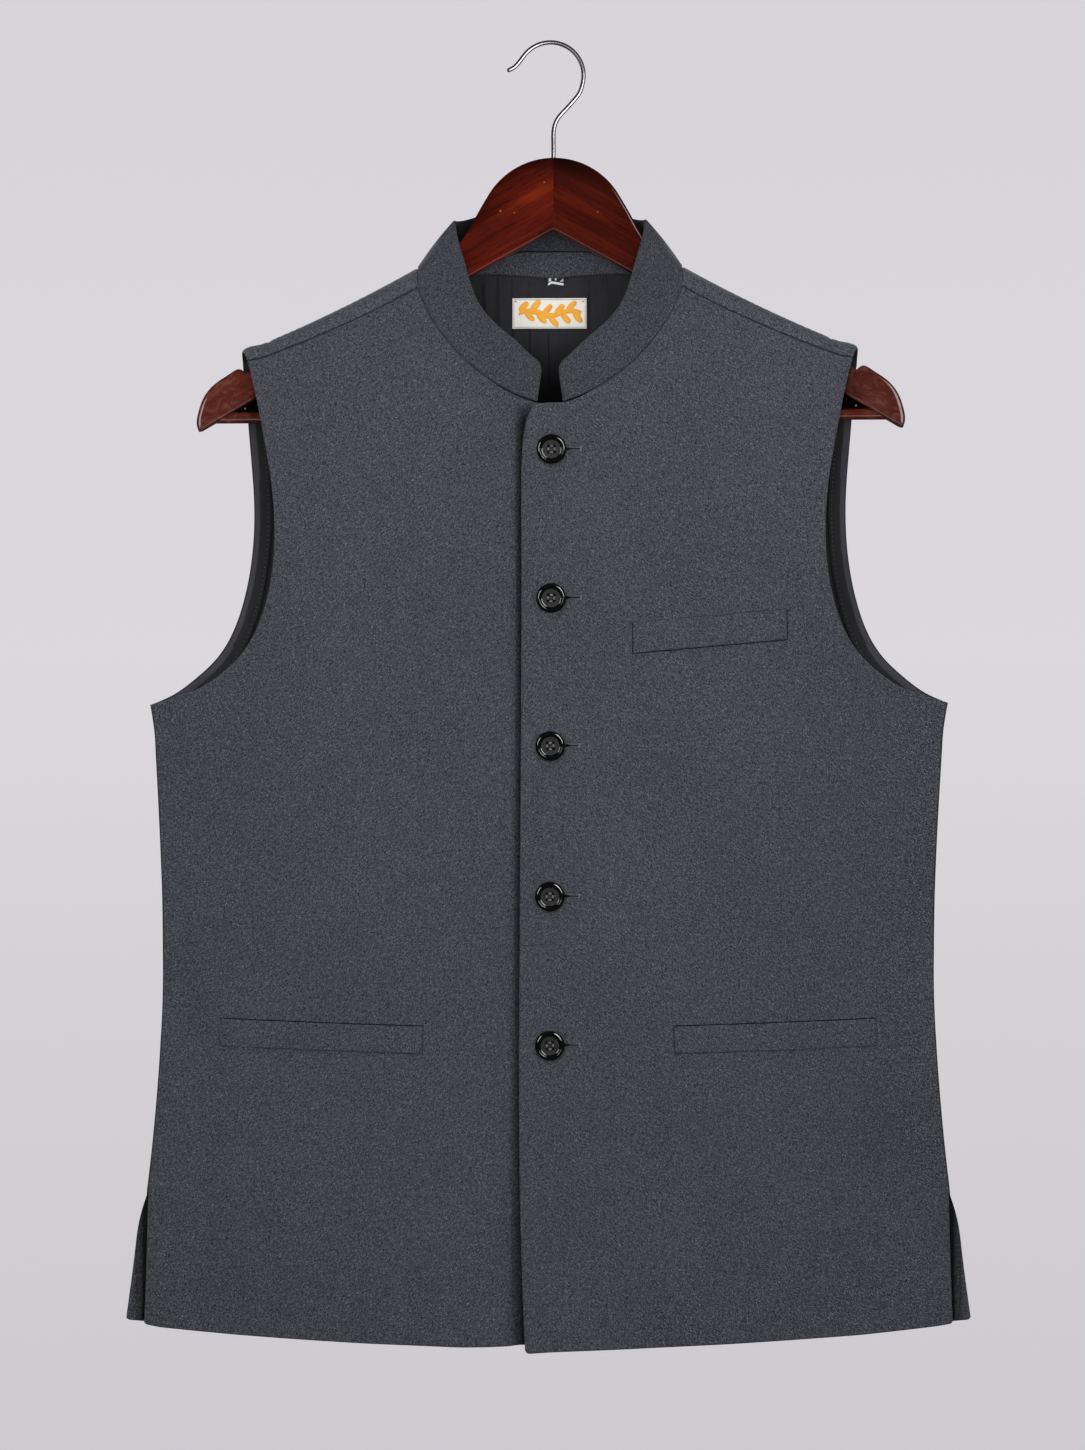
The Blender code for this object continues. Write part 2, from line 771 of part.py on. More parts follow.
def button_mesh(cutters):
    """A turned disc with a raised rim and four holes, its back at y = 0 and its face to -Y."""
    bm = bmesh.new()
    scale = BUTTON_DIAMETER / 2.0 / max(turn.radius for turn in BUTTON_PROFILE)
    line = [bm.verts.new((scale * turn.radius * MM, 0.0, turn.height * MM)) for turn in BUTTON_PROFILE]
    for a, b in zip(line, line[1:]):
        bm.edges.new((a, b))
    turned = add_object("button_blank", mesh_of(bm, "button_blank"), cutters, None)
    spin = turned.modifiers.new("turn", "SCREW")
    spin.steps = BUTTON_STEPS
    spin.render_steps = BUTTON_STEPS
    spin.use_merge_vertices = True
    spin.merge_threshold = 0.1 * MM
    bm = bmesh.new()
    for x in (-1, 1):
        for y in (-1, 1):
            place = Matrix.Translation(Vector((x, y, 0.0)) * BUTTON_HOLE_OFFSET * MM)
            bmesh.ops.create_cone(
                bm,
                cap_ends=True,
                segments=8,
                radius1=BUTTON_HOLE / 2.0 * MM,
                radius2=BUTTON_HOLE / 2.0 * MM,
                depth=BUTTON_DRILL_LENGTH * MM,
                matrix=place,
            )
    drill = add_cutter("button_drill", mesh_of(bm, "button_drill"), cutters)
    holes = turned.modifiers.new("holes", "BOOLEAN")
    holes.object = drill
    holes.operation = "DIFFERENCE"
    mesh = evaluated_mesh(turned, "button")
    mesh.transform(Matrix.Rotation(math.pi / 2.0, 4, "X"))
    bpy.data.objects.remove(turned)
    return mesh


def add_cutter(name, mesh, cutters):
    cutter = add_object(name, mesh, cutters, None)
    cutter.hide_render = True
    cutter.display_type = "WIRE"
    return cutter


def evaluated_mesh(thing, name):
    bpy.context.view_layer.update()
    depsgraph = bpy.context.evaluated_depsgraph_get()
    mesh = bpy.data.meshes.new_from_object(thing.evaluated_get(depsgraph))
    mesh.name = name
    return mesh


def make_buttons(collection, cutters, look):
    mesh = button_mesh(cutters)
    mesh.materials.clear()
    mesh.materials.append(look)
    mesh.shade_smooth()
    for number, z in enumerate(BUTTON_Z, start=1):
        seat = hang(front_point(BUTTON_X, unroll(BUTTON_X, z)), 1)
        button = bpy.data.objects.new(f"button_{number}", mesh)
        collection.objects.link(button)
        button.location = seat + Vector((0.0, -GAP * MM, 0.0))


# ---------------------------------------------------------------- hanger


def hanger_place(r, z, side, reach):
    """Point of a hanger outline in metres: stretched to the arm's reach, tilted with the jacket."""
    stretch = 1.0 + (reach / ARM_REACH - 1.0) * smoothstep((r - DOME_RADIUS) / STRETCH_RANGE)
    x = side * r * stretch + HANGER_X
    return Vector((x, 0.0, z + LEAN_TILT * x)) * MM


def underside_z(r):
    return UNDERSIDE_APEX_Z - UNDERSIDE_SLOPE * r - UNDERSIDE_BEND * r * r


def arm_outline(side):
    """Closed outline of half the hanger, from the top of the dome out to the tip and back underneath.

    The cloth hangs a little off the hanger's middle, so near the neck each arm's top meets its own crest.
    """
    centre_z = DOME_TOP_Z - DOME_RADIUS
    dome = []
    for step in range(9):
        angle = math.radians(DOME_ARC_DEGREES) * step / 8.0
        dome.append((DOME_RADIUS * math.sin(angle), centre_z + DOME_RADIUS * math.cos(angle)))
    seat = -side * (HANGER_X - BODY_X - LEAN_X) * CREST_SLOPE
    neck = cubic_through([dome[-1], *map(tuple, ARM_NECK[:-1]), (ARM_NECK[-1].r, ARM_NECK[-1].z + seat)], 9)
    top = evenly((neck[-1], ARM_TOP_END), 4)
    tip = cubic_through(ARM_TIP, 16)
    under = [(r, underside_z(r)) for r in np.linspace(UNDERSIDE_END_R, 0.0, 7)]
    return [*dome, *map(tuple, neck[1:]), *map(tuple, top[1:]), *map(tuple, tip), *under]


def make_arm(name, side, reach, tools, collection, look):
    outline = arm_outline(side)
    bm = bmesh.new()
    half = ARM_THICKNESS / 2.0 * MM
    mitre = MITRE_GAP / 2.0 * MM
    ring = []
    for r, z in outline:
        point = hanger_place(r, z, side, reach)
        if r == 0.0:
            point.x += side * mitre
        point.y = -half
        ring.append(bm.verts.new(point))
    face = bm.faces.new(ring if side < 0 else ring[::-1])
    grown = bmesh.ops.extrude_face_region(bm, geom=[face])
    lifted = [v for v in grown["geom"] if isinstance(v, bmesh.types.BMVert)]
    bmesh.ops.translate(bm, verts=lifted, vec=(0.0, 2.0 * half, 0.0))
    bmesh.ops.recalc_face_normals(bm, faces=bm.faces[:])
    cut_x = HANGER_X * MM + side * mitre
    rounded = []
    for edge in bm.edges:
        a, b = edge.verts
        flat = abs(a.co.y - b.co.y) < 1e-6
        at_mitre = abs(a.co.x - cut_x) < 1e-5 and abs(b.co.x - cut_x) < 1e-5
        if flat and not at_mitre:
            rounded.append(edge)
    bmesh.ops.bevel(bm, geom=rounded, offset=ARM_ROUND * MM, segments=3, profile=0.5, affect="EDGES")
    arm = add_object(name, mesh_of(bm, name), collection, look)
    arm.data.shade_smooth()
    for tool in tools:
        bore = arm.modifiers.new(tool.name, "BOOLEAN")
        bore.object = tool
        bore.operation = "DIFFERENCE"
    return arm


def rod_mesh(name, start, end, radius, segments):
    """A round bar between two points."""
    bm = bmesh.new()
    along = end - start
    turn = along.to_track_quat("Z", "Y").to_matrix().to_4x4()
    place = Matrix.Translation((start + end) / 2.0) @ turn
    bmesh.ops.create_cone(
        bm,
        cap_ends=True,
        segments=segments,
        radius1=radius,
        radius2=radius,
        depth=along.length,
        matrix=place,
    )
    return mesh_of(bm, name)


def bar_end(side, overrun):
    reach = LEFT_REACH if side > 0 else RIGHT_REACH
    r = BAR_END_R + (reach - ARM_REACH) + overrun
    x = side * r + HANGER_X
    return Vector((x, 0.0, BAR_Z + LEAN_TILT * x)) * MM


def make_hanger(collection, cutters, look):
    stem_bore = rod_mesh(
        "stem_bore",
        Vector((HANGER_X, 0.0, STEM_BORE_TOP_Z)) * MM,
        Vector((HANGER_X, 0.0, STEM_END_Z - SEAM)) * MM,
        (WIRE_RADIUS + GAP + BORE_EASE) * MM,
        12,
    )
    stem_tool = add_cutter("stem_bore", stem_bore, cutters)
    bar_bore_radius = (BAR_RADIUS + GAP + BORE_EASE) * MM
    bar_bore = rod_mesh("bar_bore", bar_end(-1, GAP), bar_end(1, GAP), bar_bore_radius, 16)
    bar_tool = add_cutter("bar_bore", bar_bore, cutters)
    tools = (stem_tool, bar_tool)
    make_arm("hanger_arm_left", 1, LEFT_REACH, tools, collection, look)
    make_arm("hanger_arm_right", -1, RIGHT_REACH, tools, collection, look)
    bar = rod_mesh("trouser_bar", bar_end(-1, 0.0), bar_end(1, 0.0), BAR_RADIUS * MM, 16)
    add_object("trouser_bar", bar, collection, look)


def hook_route():
    """Centre line of the wire from its nose, round the crown and down into the wood."""
    centre_z = WIRE_RADIUS - HOOK_RADIUS
    arc = []
    for degrees in np.linspace(HOOK_ARC_START, HOOK_ARC_END, 22):
        angle = math.radians(degrees)
        arc.append((HOOK_RADIUS * math.cos(angle), centre_z + HOOK_RADIUS * math.sin(angle)))
    nose = cubic_through([*map(tuple, HOOK_NOSE), arc[0], arc[1]], 8)[:-1]
    neck = cubic_through([arc[-1], *map(tuple, HOOK_NECK), (HANGER_X, STEM_TOP_Z)], 14)
    return [*map(tuple, nose), *arc[1:], *map(tuple, neck[1:]), (HANGER_X, STEM_END_Z)]


def make_hook(collection, look):
    route = hook_route()
    curve = bpy.data.curves.new("hook", "CURVE")
    curve.dimensions = "3D"
    curve.bevel_depth = WIRE_RADIUS * MM
    curve.bevel_resolution = 2
    curve.use_fill_caps = True
    spline = curve.splines.new("POLY")
    spline.points.add(len(route) - 1)
    for point, (x, z) in zip(spline.points, route):
        point.co = (x * MM, 0.0, z * MM, 1.0)
    curve.materials.append(look)
    hook = bpy.data.objects.new("hook", curve)
    collection.objects.link(hook)


# ---------------------------------------------------------------- build


def build():
    clear_objects()
    parts = new_collection("nehru_jacket")
    cutters = new_collection("cutters", hidden=True)
    cloth = material("shell_cloth", (0.059, 0.061, 0.073), 0.9)
    lining = material("lining", (0.021, 0.021, 0.026), 0.5)
    label = material("label", (0.72, 0.69, 0.62), 0.7)
    tab = material("size_tab", (0.03, 0.03, 0.034), 0.6)
    plastic = material("button", (0.008, 0.008, 0.009), 0.25)
    wood = material("wood", (0.09, 0.012, 0.005), 0.25)
    chrome = material("chrome", (0.75, 0.75, 0.77), 0.12, 1.0)

    make_hook(parts, chrome)
    make_hanger(parts, cutters, wood)
    make_back(parts, cloth)
    right = (RIGHT_FRONT_EDGE, RIGHT_NECK_END, RIGHT_HEM)
    left = (LEFT_FRONT_EDGE, LEFT_NECK_END, LEFT_HEM)
    make_front("front_right", -1, under_front_point, right, parts, cloth)
    make_front("front_left", 1, front_point, left, parts, cloth)
    make_collar(parts, cloth)
    make_neck_facing(parts, cloth)
    for name, side in (("armhole_facing_left", 1), ("armhole_facing_right", -1)):
        make_armhole_facing(name, side, parts, lining)
    make_lining(parts, lining)
    on_lining = CLOTH + PATCH_GAP + LINING + PATCH_GAP
    make_label("label_main", MAIN_LABEL, on_lining, parts, label)
    make_label("label_size", SIZE_TAB, on_lining, parts, tab)
    make_welt("welt_chest", 1, front_point, CHEST_WELT, parts, cloth)
    make_welt("welt_hip_left", 1, front_point, HIP_WELT, parts, cloth)
    make_welt("welt_hip_right", -1, under_front_point, HIP_WELT, parts, cloth)
    make_buttons(parts, cutters, plastic)


build()
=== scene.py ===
"""The look of a sleeveless jacket with a band collar, hung on a wooden hanger.

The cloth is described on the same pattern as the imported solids. A pattern point has a distance r from
the centre line and an unrolled height h: 0 on the crest of the shoulder, growing down the front and
falling below 0 down the back. Sizes are in millimetres until they are placed, and then in metres, as
the stage, the lamps and the camera are. +X is the wearer's left, +Y the wearer's back and +Z up.
"""

import math

import bmesh
import bpy
import numpy as np
from mathutils import Matrix, Vector


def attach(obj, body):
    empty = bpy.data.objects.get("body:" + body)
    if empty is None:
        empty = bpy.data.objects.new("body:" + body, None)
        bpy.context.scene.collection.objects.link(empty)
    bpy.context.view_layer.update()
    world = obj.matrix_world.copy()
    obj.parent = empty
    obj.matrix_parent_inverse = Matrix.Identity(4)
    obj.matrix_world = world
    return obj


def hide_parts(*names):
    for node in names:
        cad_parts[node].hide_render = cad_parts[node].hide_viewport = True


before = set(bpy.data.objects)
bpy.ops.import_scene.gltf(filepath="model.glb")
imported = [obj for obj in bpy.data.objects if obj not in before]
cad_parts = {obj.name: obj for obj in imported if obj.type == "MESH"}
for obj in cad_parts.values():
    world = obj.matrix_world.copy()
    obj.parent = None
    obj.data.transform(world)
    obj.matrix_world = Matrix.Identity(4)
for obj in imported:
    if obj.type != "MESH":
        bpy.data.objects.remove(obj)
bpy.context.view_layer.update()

MM = 0.001

# Walls, and how deep inside the outer face of the back each layer starts
CLOTH = 1.6
COLLAR = 2.4
LINING_AT = 2.3
LINING = 0.7
ARMHOLE_FACING = 1.0
FACING_AT = 3.05
FACING = 0.9
LABEL_AT = 4.45
LABEL = 0.55
TAB_LAYERS_AT = (4.25, 4.95)
TAB_LAYER = 0.4
SEAM = 0.5

# The form that the cloth hangs on
CREST_NECK_Z = -150.7
CREST_SLOPE = 0.555
CREST_CURL = 0.0007
CREST_END_RISE = 1.7
PUCKER_HEIGHT = 0.16
TUCK_DEPTH = 0.75
TUCK_R = 189.5
ROLL_DROP = 11.0
ROLL_LENGTH = 17.0
ROLL_DEPTH_OUTER = 11.2
ROLL_DEPTH_NECK = 26.0
ROLL_WIDENS_FROM, ROLL_WIDENS_TO = 125.0, 40.0
CHEST_DEPTH = 28.0
HEM_DEPTH = 24.0
HEM_Z = -870.0
FULLNESS_FALL = 140.0
SIDE_DEPTH = CLOTH + 0.2
SIDE_EASE = 170.0
SIDE_POWER = 2.2
SIDE_LIFT = 130.0
SIDE_LIFT_REACH = 235.0
BACK_SIDE_OVERHANG = 0.6
LAP_START, LAP_FULL = 46.0, 21.0
LAP_DIP = CLOTH + 0.7
LAP_DIP_HEM = 1.6
BODY_X = -1.4
LEAN_X = 1.05
LEAN_TILT = 0.006
LEAN_FADES_FROM, LEAN_FADES_TO = -310.0, -560.0

# ------------------------------------------------------------------ pattern tables, r and z
UNDERARM_Z = -444.3
VENT_TOP_Z = -775.0
NECK_R = 90.0
NECK_SIDE_R = 89.8
BACK_NECK_Z = -136.8
BACK_NECK_DROP = 13.9
BACK_NECK_POWER = 2.5
SHOULDER_R = 207.8
COLLAR_END_R = 8.75
SIDE_SEAM = (
    (268.2, UNDERARM_Z), (266.6, -453.0), (264.0, -482.0), (261.0, -540.0), (259.3, -603.0),
    (261.1, -677.0), (263.6, -711.0), (266.8, -745.0), (270.3, VENT_TOP_Z),
)
FRONT_VENT = ((269.8, -775.5), (270.7, -811.0), (271.8, -845.0), (272.6, -860.0))
BACK_VENT = ((270.9, -775.5), (275.3, -790.0), (278.6, -811.0), (285.0, -858.7))
FRONT_ARMHOLE = (
    (268.2, UNDERARM_Z), (249.5, -438.5), (236.6, -434.0), (222.6, -425.5), (203.0, -405.9), (190.0, -377.0),
    (184.4, -345.0), (184.6, -310.0), (187.9, -284.0), (194.4, -250.0), (200.4, -223.0), (203.2, -213.2),
)
BACK_ARMHOLE = (
    (268.8, UNDERARM_Z), (254.0, -437.5), (240.0, -427.0), (225.0, -412.0), (208.4, -375.0),
    (202.3, -340.0), (201.3, -305.0), (202.8, -280.0), (204.8, -253.0), (207.4, -218.5),
)
LEFT_FRONT_EDGE = (
    (-15.6, -878.4), (-18.2, -808.0), (-19.0, -575.0), (-19.2, -315.0), (-18.4, -273.0),
    (-15.0, -253.5), (-10.9, -244.6),
)
RIGHT_FRONT_EDGE = (
    (-16.0, -873.9), (-17.4, -800.0), (-18.0, -575.0), (-18.0, -315.0), (-17.0, -275.0),
    (-14.5, -260.0), (-10.5, -250.0),
)
LEFT_NECK_END = ((-10.9, -244.6), (-1.0, -243.5))
RIGHT_NECK_END = ((-10.5, -250.0), (-1.0, -246.4))
NECK_SEAM = (
    (COLLAR_END_R, -243.3), (25.2, -237.0), (40.9, -227.7), (54.5, -217.3), (68.9, -202.0),
    (82.0, -182.5), (88.9, -165.4),
)
LEFT_HEM = (
    (-15.6, -878.4), (47.7, -875.9), (120.0, -872.2), (208.4, -867.3), (262.5, -863.0), (272.6, -861.7),
)
RIGHT_HEM = (
    (-16.0, -873.9), (59.1, -874.4), (120.0, -871.9), (209.7, -867.1), (261.6, -863.7), (272.6, -862.0),
)
BACK_HEM = ((0.0, -867.0), (140.0, -865.0), (285.0, -859.3))
# Free top edge of the collar: r, z, y
COLLAR_TOP = (
    (5.3, -221.0, -25.0), (6.7, -216.6, -24.6), (10.2, -213.0, -24.0), (23.2, -200.8, -22.5),
    (38.2, -187.5, -19.5), (47.8, -174.5, -16.5), (57.2, -146.3, -10.5), (62.8, -126.3, -4.5),
    (64.3, -117.7, 0.0),
)
FACING_END_R = 62.0
FACING_DEPTH = ((0.0, 17.6), (50.0, 11.6), (FACING_END_R, 10.0))
CHEST_WELT = ((55.4, -390.5), (157.9, -382.2), (158.3, -402.0), (55.8, -410.9))
HIP_WELT = ((83.7, -659.8), (219.7, -655.5), (219.9, -673.5), (84.6, -677.9))
MAIN_LABEL = ((-25.6, -168.4), (25.0, -168.4), (25.0, -189.2), (-25.6, -189.2))
SIZE_TAB = ((-1.9, -154.6), (9.7, -154.6), (9.7, -160.6), (-1.9, -160.6))
BUTTON_X = 0.9
BUTTON_Z = (-274.8, -374.0, -472.6, -573.0, -672.4)

# Soft troughs (below 0) and ridges: r and z of both ends, width, height
RIGHT_FOLDS = (
    (30.0, -258.0, 96.0, -192.0, 11.0, -1.5),
    (58.0, -262.0, 112.0, -206.0, 14.0, 0.8),
    (176.0, -352.0, 96.0, -262.0, 24.0, -1.1),
    (120.0, -300.0, 60.0, -420.0, 30.0, 1.0),
    (246.0, -452.0, 168.0, -392.0, 16.0, -1.2),
    (252.0, -486.0, 176.0, -446.0, 20.0, 1.0),
    (236.0, -540.0, 150.0, -500.0, 24.0, -0.9),
    (60.0, -470.0, 34.0, -640.0, 22.0, -0.9),
    (120.0, -540.0, 104.0, -640.0, 26.0, 0.9),
    (244.0, -640.0, 226.0, -760.0, 18.0, -1.5),
    (214.0, -700.0, 206.0, -830.0, 20.0, 1.1),
    (150.0, -706.0, 140.0, -850.0, 26.0, -0.9),
    (84.0, -700.0, 78.0, -850.0, 24.0, 0.9),
    (46.0, -760.0, 44.0, -866.0, 16.0, -0.8),
)
LEFT_FOLDS = (
    (28.0, -254.0, 98.0, -190.0, 11.0, -1.5),
    (52.0, -268.0, 104.0, -214.0, 15.0, 0.8),
    (22.0, -318.0, 64.0, -282.0, 15.0, -1.1),
    (150.0, -236.0, 70.0, -372.0, 30.0, 1.1),
    (184.0, -330.0, 122.0, -250.0, 24.0, -1.0),
    (250.0, -450.0, 172.0, -404.0, 16.0, -1.2),
    (244.0, -492.0, 184.0, -462.0, 20.0, 1.0),
    (206.0, -560.0, 118.0, -486.0, 26.0, -1.0),
    (30.0, -420.0, 26.0, -560.0, 18.0, -0.8),
    (92.0, -520.0, 82.0, -630.0, 26.0, 0.9),
    (240.0, -660.0, 232.0, -780.0, 18.0, -1.6),
    (206.0, -692.0, 212.0, -836.0, 22.0, 1.0),
    (128.0, -700.0, 136.0, -852.0, 24.0, -0.9),
    (62.0, -694.0, 58.0, -846.0, 26.0, 0.9),
    (20.0, -740.0, 18.0, -868.0, 16.0, -0.7),
)
BACK_FOLDS = (
    (-60.0, -176.0, -150.0, -236.0, 16.0, -1.5),
    (52.0, -172.0, 142.0, -226.0, 17.0, -1.3),
    (-14.0, -210.0, -22.0, -420.0, 26.0, -1.2),
    (40.0, -250.0, 66.0, -430.0, 30.0, 1.2),
    (-92.0, -262.0, -76.0, -450.0, 32.0, 1.2),
    (-196.0, -330.0, -118.0, -420.0, 22.0, -1.6),
    (194.0, -316.0, 124.0, -404.0, 22.0, -1.5),
    (-248.0, -462.0, -150.0, -520.0, 20.0, -1.5),
    (246.0, -470.0, 158.0, -540.0, 22.0, -1.4),
    (-232.0, -560.0, -110.0, -604.0, 24.0, 1.1),
    (228.0, -580.0, 120.0, -612.0, 24.0, 1.1),
    (-40.0, -500.0, -52.0, -760.0, 28.0, -1.3),
    (66.0, -560.0, 74.0, -840.0, 30.0, -1.4),
    (12.0, -600.0, 8.0, -850.0, 26.0, 1.2),
    (-128.0, -640.0, -140.0, -850.0, 28.0, 1.3),
    (-206.0, -660.0, -222.0, -850.0, 22.0, -1.6),
    (150.0, -650.0, 160.0, -850.0, 26.0, 1.2),
    (220.0, -680.0, 232.0, -850.0, 20.0, -1.6),
)
# Lining folds: r of the sharp side, height, width, and the z where each starts and has gone
PLEATS = (
    (-44.8, 2.0, 9.0, -150.0, -420.0), (-35.3, 1.8, 9.0, -150.0, -380.0),
    (-25.3, 2.0, 11.0, -150.0, -520.0), (-13.8, 1.4, 9.0, -150.0, -300.0),
    (-0.7, 1.5, 11.0, -190.0, -560.0), (27.2, 1.4, 9.0, -150.0, -330.0),
    (36.5, 2.0, 11.0, -150.0, -520.0), (49.0, 1.8, 10.0, -150.0, -400.0),
    (-96.0, 1.6, 22.0, -190.0, -840.0), (92.0, 1.5, 20.0, -190.0, -840.0),
    (-160.0, 1.5, 24.0, -260.0, -840.0), (166.0, 1.6, 24.0, -240.0, -840.0),
    (-222.0, 1.0, 18.0, -480.0, -840.0), (224.0, 1.0, 18.0, -480.0, -840.0),
)
PLEATS_AT_NECK = 8
PLEAT_DRIFT = 0.012


# ------------------------------------------------------------------ curves


def smooth(t):
    t = np.clip(t, 0.0, 1.0)
    return t * t * (3.0 - 2.0 * t)


def fade(value, start, end):
    """0 up to start, 1 from end on, and a smooth change between them."""
    return smooth((value - start) / (end - start))


def unit(vectors):
    return vectors / (np.linalg.norm(vectors, axis=-1, keepdims=True) + 1e-12)


def run_of(path):
    """Length of a path up to each of its points."""
    return np.concatenate(([0.0], np.cumsum(np.linalg.norm(np.diff(path, axis=0), axis=1))))


def read_path(path, marks, wanted):
    return np.column_stack([np.interp(wanted, marks, column) for column in path.T])


def evenly(path, count):
    path = np.asarray(path, dtype=float)
    run = run_of(path)
    return read_path(path, run, np.linspace(0.0, run[-1], count))


def cubic_through(points, count):
    """count points, evenly spaced, on a natural cubic curve through the given points."""
    given = np.array([tuple(p) for p in points], dtype=float)
    knots = run_of(given)
    steps = np.diff(knots)
    size = len(given)
    system = np.eye(size)
    right = np.zeros_like(given)
    for i in range(1, size - 1):
        before, after = steps[i - 1], steps[i]
        system[i, i - 1 : i + 2] = before, 2.0 * (before + after), after
        right[i] = 6.0 * ((given[i + 1] - given[i]) / after - (given[i] - given[i - 1]) / before)
    bends = np.linalg.solve(system, right)
    s = np.linspace(0.0, knots[-1], 40 * size)
    i = np.minimum(np.searchsorted(knots, s, side="right") - 1, size - 2)
    span = (knots[i + 1] - knots[i])[:, None]
    a = (knots[i + 1] - s)[:, None] / span
    b = 1.0 - a
    curl = ((a**3 - a) * bends[i] + (b**3 - b) * bends[i + 1]) * span * span / 6.0
    return evenly(a * given[i] + b * given[i + 1] + curl, count)


def joined(*runs):
    return np.vstack([runs[0]] + [run[1:] for run in runs[1:]])


def columns_of(table):
    table = np.array(table, dtype=float)
    return table[:, 0], table[:, 1]


# ------------------------------------------------------------------ the jacket's form


def crest_z(r):
    """The top of the shoulder; it stands up a little where the hanger ends under it."""
    r = np.abs(r)
    out = r - NECK_R
    end = CREST_END_RISE * fade(r, 193.0, 203.0) * fade(r, SHOULDER_R + 1.5, SHOULDER_R - 3.5)
    return CREST_NECK_Z - CREST_SLOPE * out + CREST_CURL * out * out + end


def ring_z(r):
    """Height of the neck seam across the back."""
    return BACK_NECK_Z - BACK_NECK_DROP * (np.abs(r) / NECK_R) ** BACK_NECK_POWER


def gathers(r, run):
    """Small puckers along the shoulder and a tuck near its end."""
    q = np.abs(r)
    small = np.sin(q / 0.83 + 1.9 * np.sin(q / 7.1)) * np.sin(q / 13.0 + 0.6) ** 2
    tuck = np.exp(-(((q - TUCK_R + 0.25 * run) / 1.6) ** 2)) * fade(run, 13.0, 8.0)
    height = PUCKER_HEIGHT * fade(q, 96.0, 110.0) * small - TUCK_DEPTH * tuck
    return fade(run, ROLL_LENGTH, ROLL_LENGTH - 6.0) * height


def roll_depth(r):
    wide = fade(np.abs(r), ROLL_WIDENS_FROM, ROLL_WIDENS_TO)
    return ROLL_DEPTH_OUTER + (ROLL_DEPTH_NECK - ROLL_DEPTH_OUTER) * wide


def unroll(r, z):
    """Length of cloth from the crest down to z."""
    drop = crest_z(r) - z
    angle = np.arccos(1.0 - np.clip(drop, 0.0, ROLL_DROP) / ROLL_DROP)
    rolled = ROLL_LENGTH * angle / (math.pi / 2.0)
    return np.where(drop >= ROLL_DROP, ROLL_LENGTH - ROLL_DROP + drop, rolled)


def side_r(z, vent):
    rs, zs = columns_of(sorted(SIDE_SEAM + vent, key=lambda p: p[1]))
    return np.interp(z, zs, rs)


def half_depth(r, z, vent):
    r = np.abs(r)
    full = HEM_DEPTH + (CHEST_DEPTH - HEM_DEPTH) * fade(z, HEM_Z, UNDERARM_Z)
    fallen = np.clip((crest_z(r) - ROLL_DROP - z) / FULLNESS_FALL, 0.0, 1.0)
    start = roll_depth(r)
    body = start + (full - start) * (1.0 - (1.0 - fallen) ** 2)
    lift = SIDE_LIFT * fade(z, UNDERARM_Z, UNDERARM_Z + SIDE_LIFT_REACH)
    eased = np.clip((side_r(z, vent) - r + lift) / SIDE_EASE, 0.0, 1.0)
    return SIDE_DEPTH + (body - SIDE_DEPTH) * (1.0 - (1.0 - eased) ** SIDE_POWER)


def on_form(r, h, vent):
    run = np.abs(h)
    angle = np.minimum(run / ROLL_LENGTH, 1.0) * math.pi / 2.0
    on_roll = run <= ROLL_LENGTH
    crest = crest_z(r)
    rolled_z = crest - ROLL_DROP * (1.0 - np.cos(angle))
    z = np.where(on_roll, rolled_z, crest - ROLL_DROP - (run - ROLL_LENGTH))
    y = np.where(on_roll, roll_depth(r) * np.sin(angle), half_depth(r, z, vent))
    pucker = gathers(r, run)
    y = y + pucker * np.sin(angle)
    return np.stack([r, np.where(h > 0.0, -y, y), z + pucker * np.cos(angle)], axis=-1)


def relief(r, z, folds):
    """Height of the folds at a point of the pattern."""
    total = np.zeros_like(r)
    for r0, z0, r1, z1, width, height in folds:
        along = np.array((r1 - r0, z1 - z0))
        length = np.linalg.norm(along)
        along /= length
        a = ((r - r0) * along[0] + (z - z0) * along[1]) / length
        c = (r - r0) * along[1] - (z - z0) * along[0]
        ends = fade(a, -0.25, 0.25) * fade(a, 1.25, 0.75)
        total += height * ends * np.exp(-((c / width) ** 2))
    return total


def ripple(r, z, shift):
    """A slight unevenness all over a panel."""
    return 0.22 * (
        np.sin(r / 17.0 + 1.3 * np.sin(z / 61.0 + shift))
        + np.sin(z / 29.0 + 1.7 * np.sin(r / 47.0 + 2.0 * shift))
    )


def calm(h):
    """1 on the flat of a panel, 0 over the shoulder and at the seams there."""
    return fade(np.abs(h), 20.0, 50.0)


def below_collar(z):
    top = LEFT_NECK_END[1][1]
    return fade(z, top, top - 9.0)


def right_neck(r, h):
    point = on_form(r, h, FRONT_VENT)
    z = point[..., 2]
    lifted = relief(r, z, RIGHT_FOLDS) + ripple(r, z, 0.4)
    point[..., 1] -= calm(h) * lifted * fade(r, 4.0, 44.0)
    return point


def right_front(r, h):
    """Dips behind the left front where they lap, steeply beside the left front's edge."""
    point = right_neck(r, h)
    z = point[..., 2]
    low = fade(z, UNDERARM_Z, HEM_Z)
    steep_from = 24.0 + 3.5 * low
    steep = fade(r, steep_from, steep_from - 6.0 - 3.0 * low)
    point[..., 1] += fade(r, LAP_START, LAP_FULL) * (LAP_DIP + LAP_DIP_HEM * low)
    point[..., 1] += below_collar(z) * steep * (4.6 + 1.2 * low)
    return point


def left_front(r, h):
    """Stands off the right front along its edge."""
    point = on_form(r, h, FRONT_VENT)
    z = point[..., 2]
    low = fade(z, UNDERARM_Z, HEM_Z)
    lifted = relief(r, z, LEFT_FOLDS) + ripple(r, z, 2.1)
    point[..., 1] -= calm(h) * lifted * fade(r, 6.0, 40.0)
    point[..., 1] -= below_collar(z) * fade(r, 4.0, -18.0) * (1.8 + 1.0 * low)
    return point


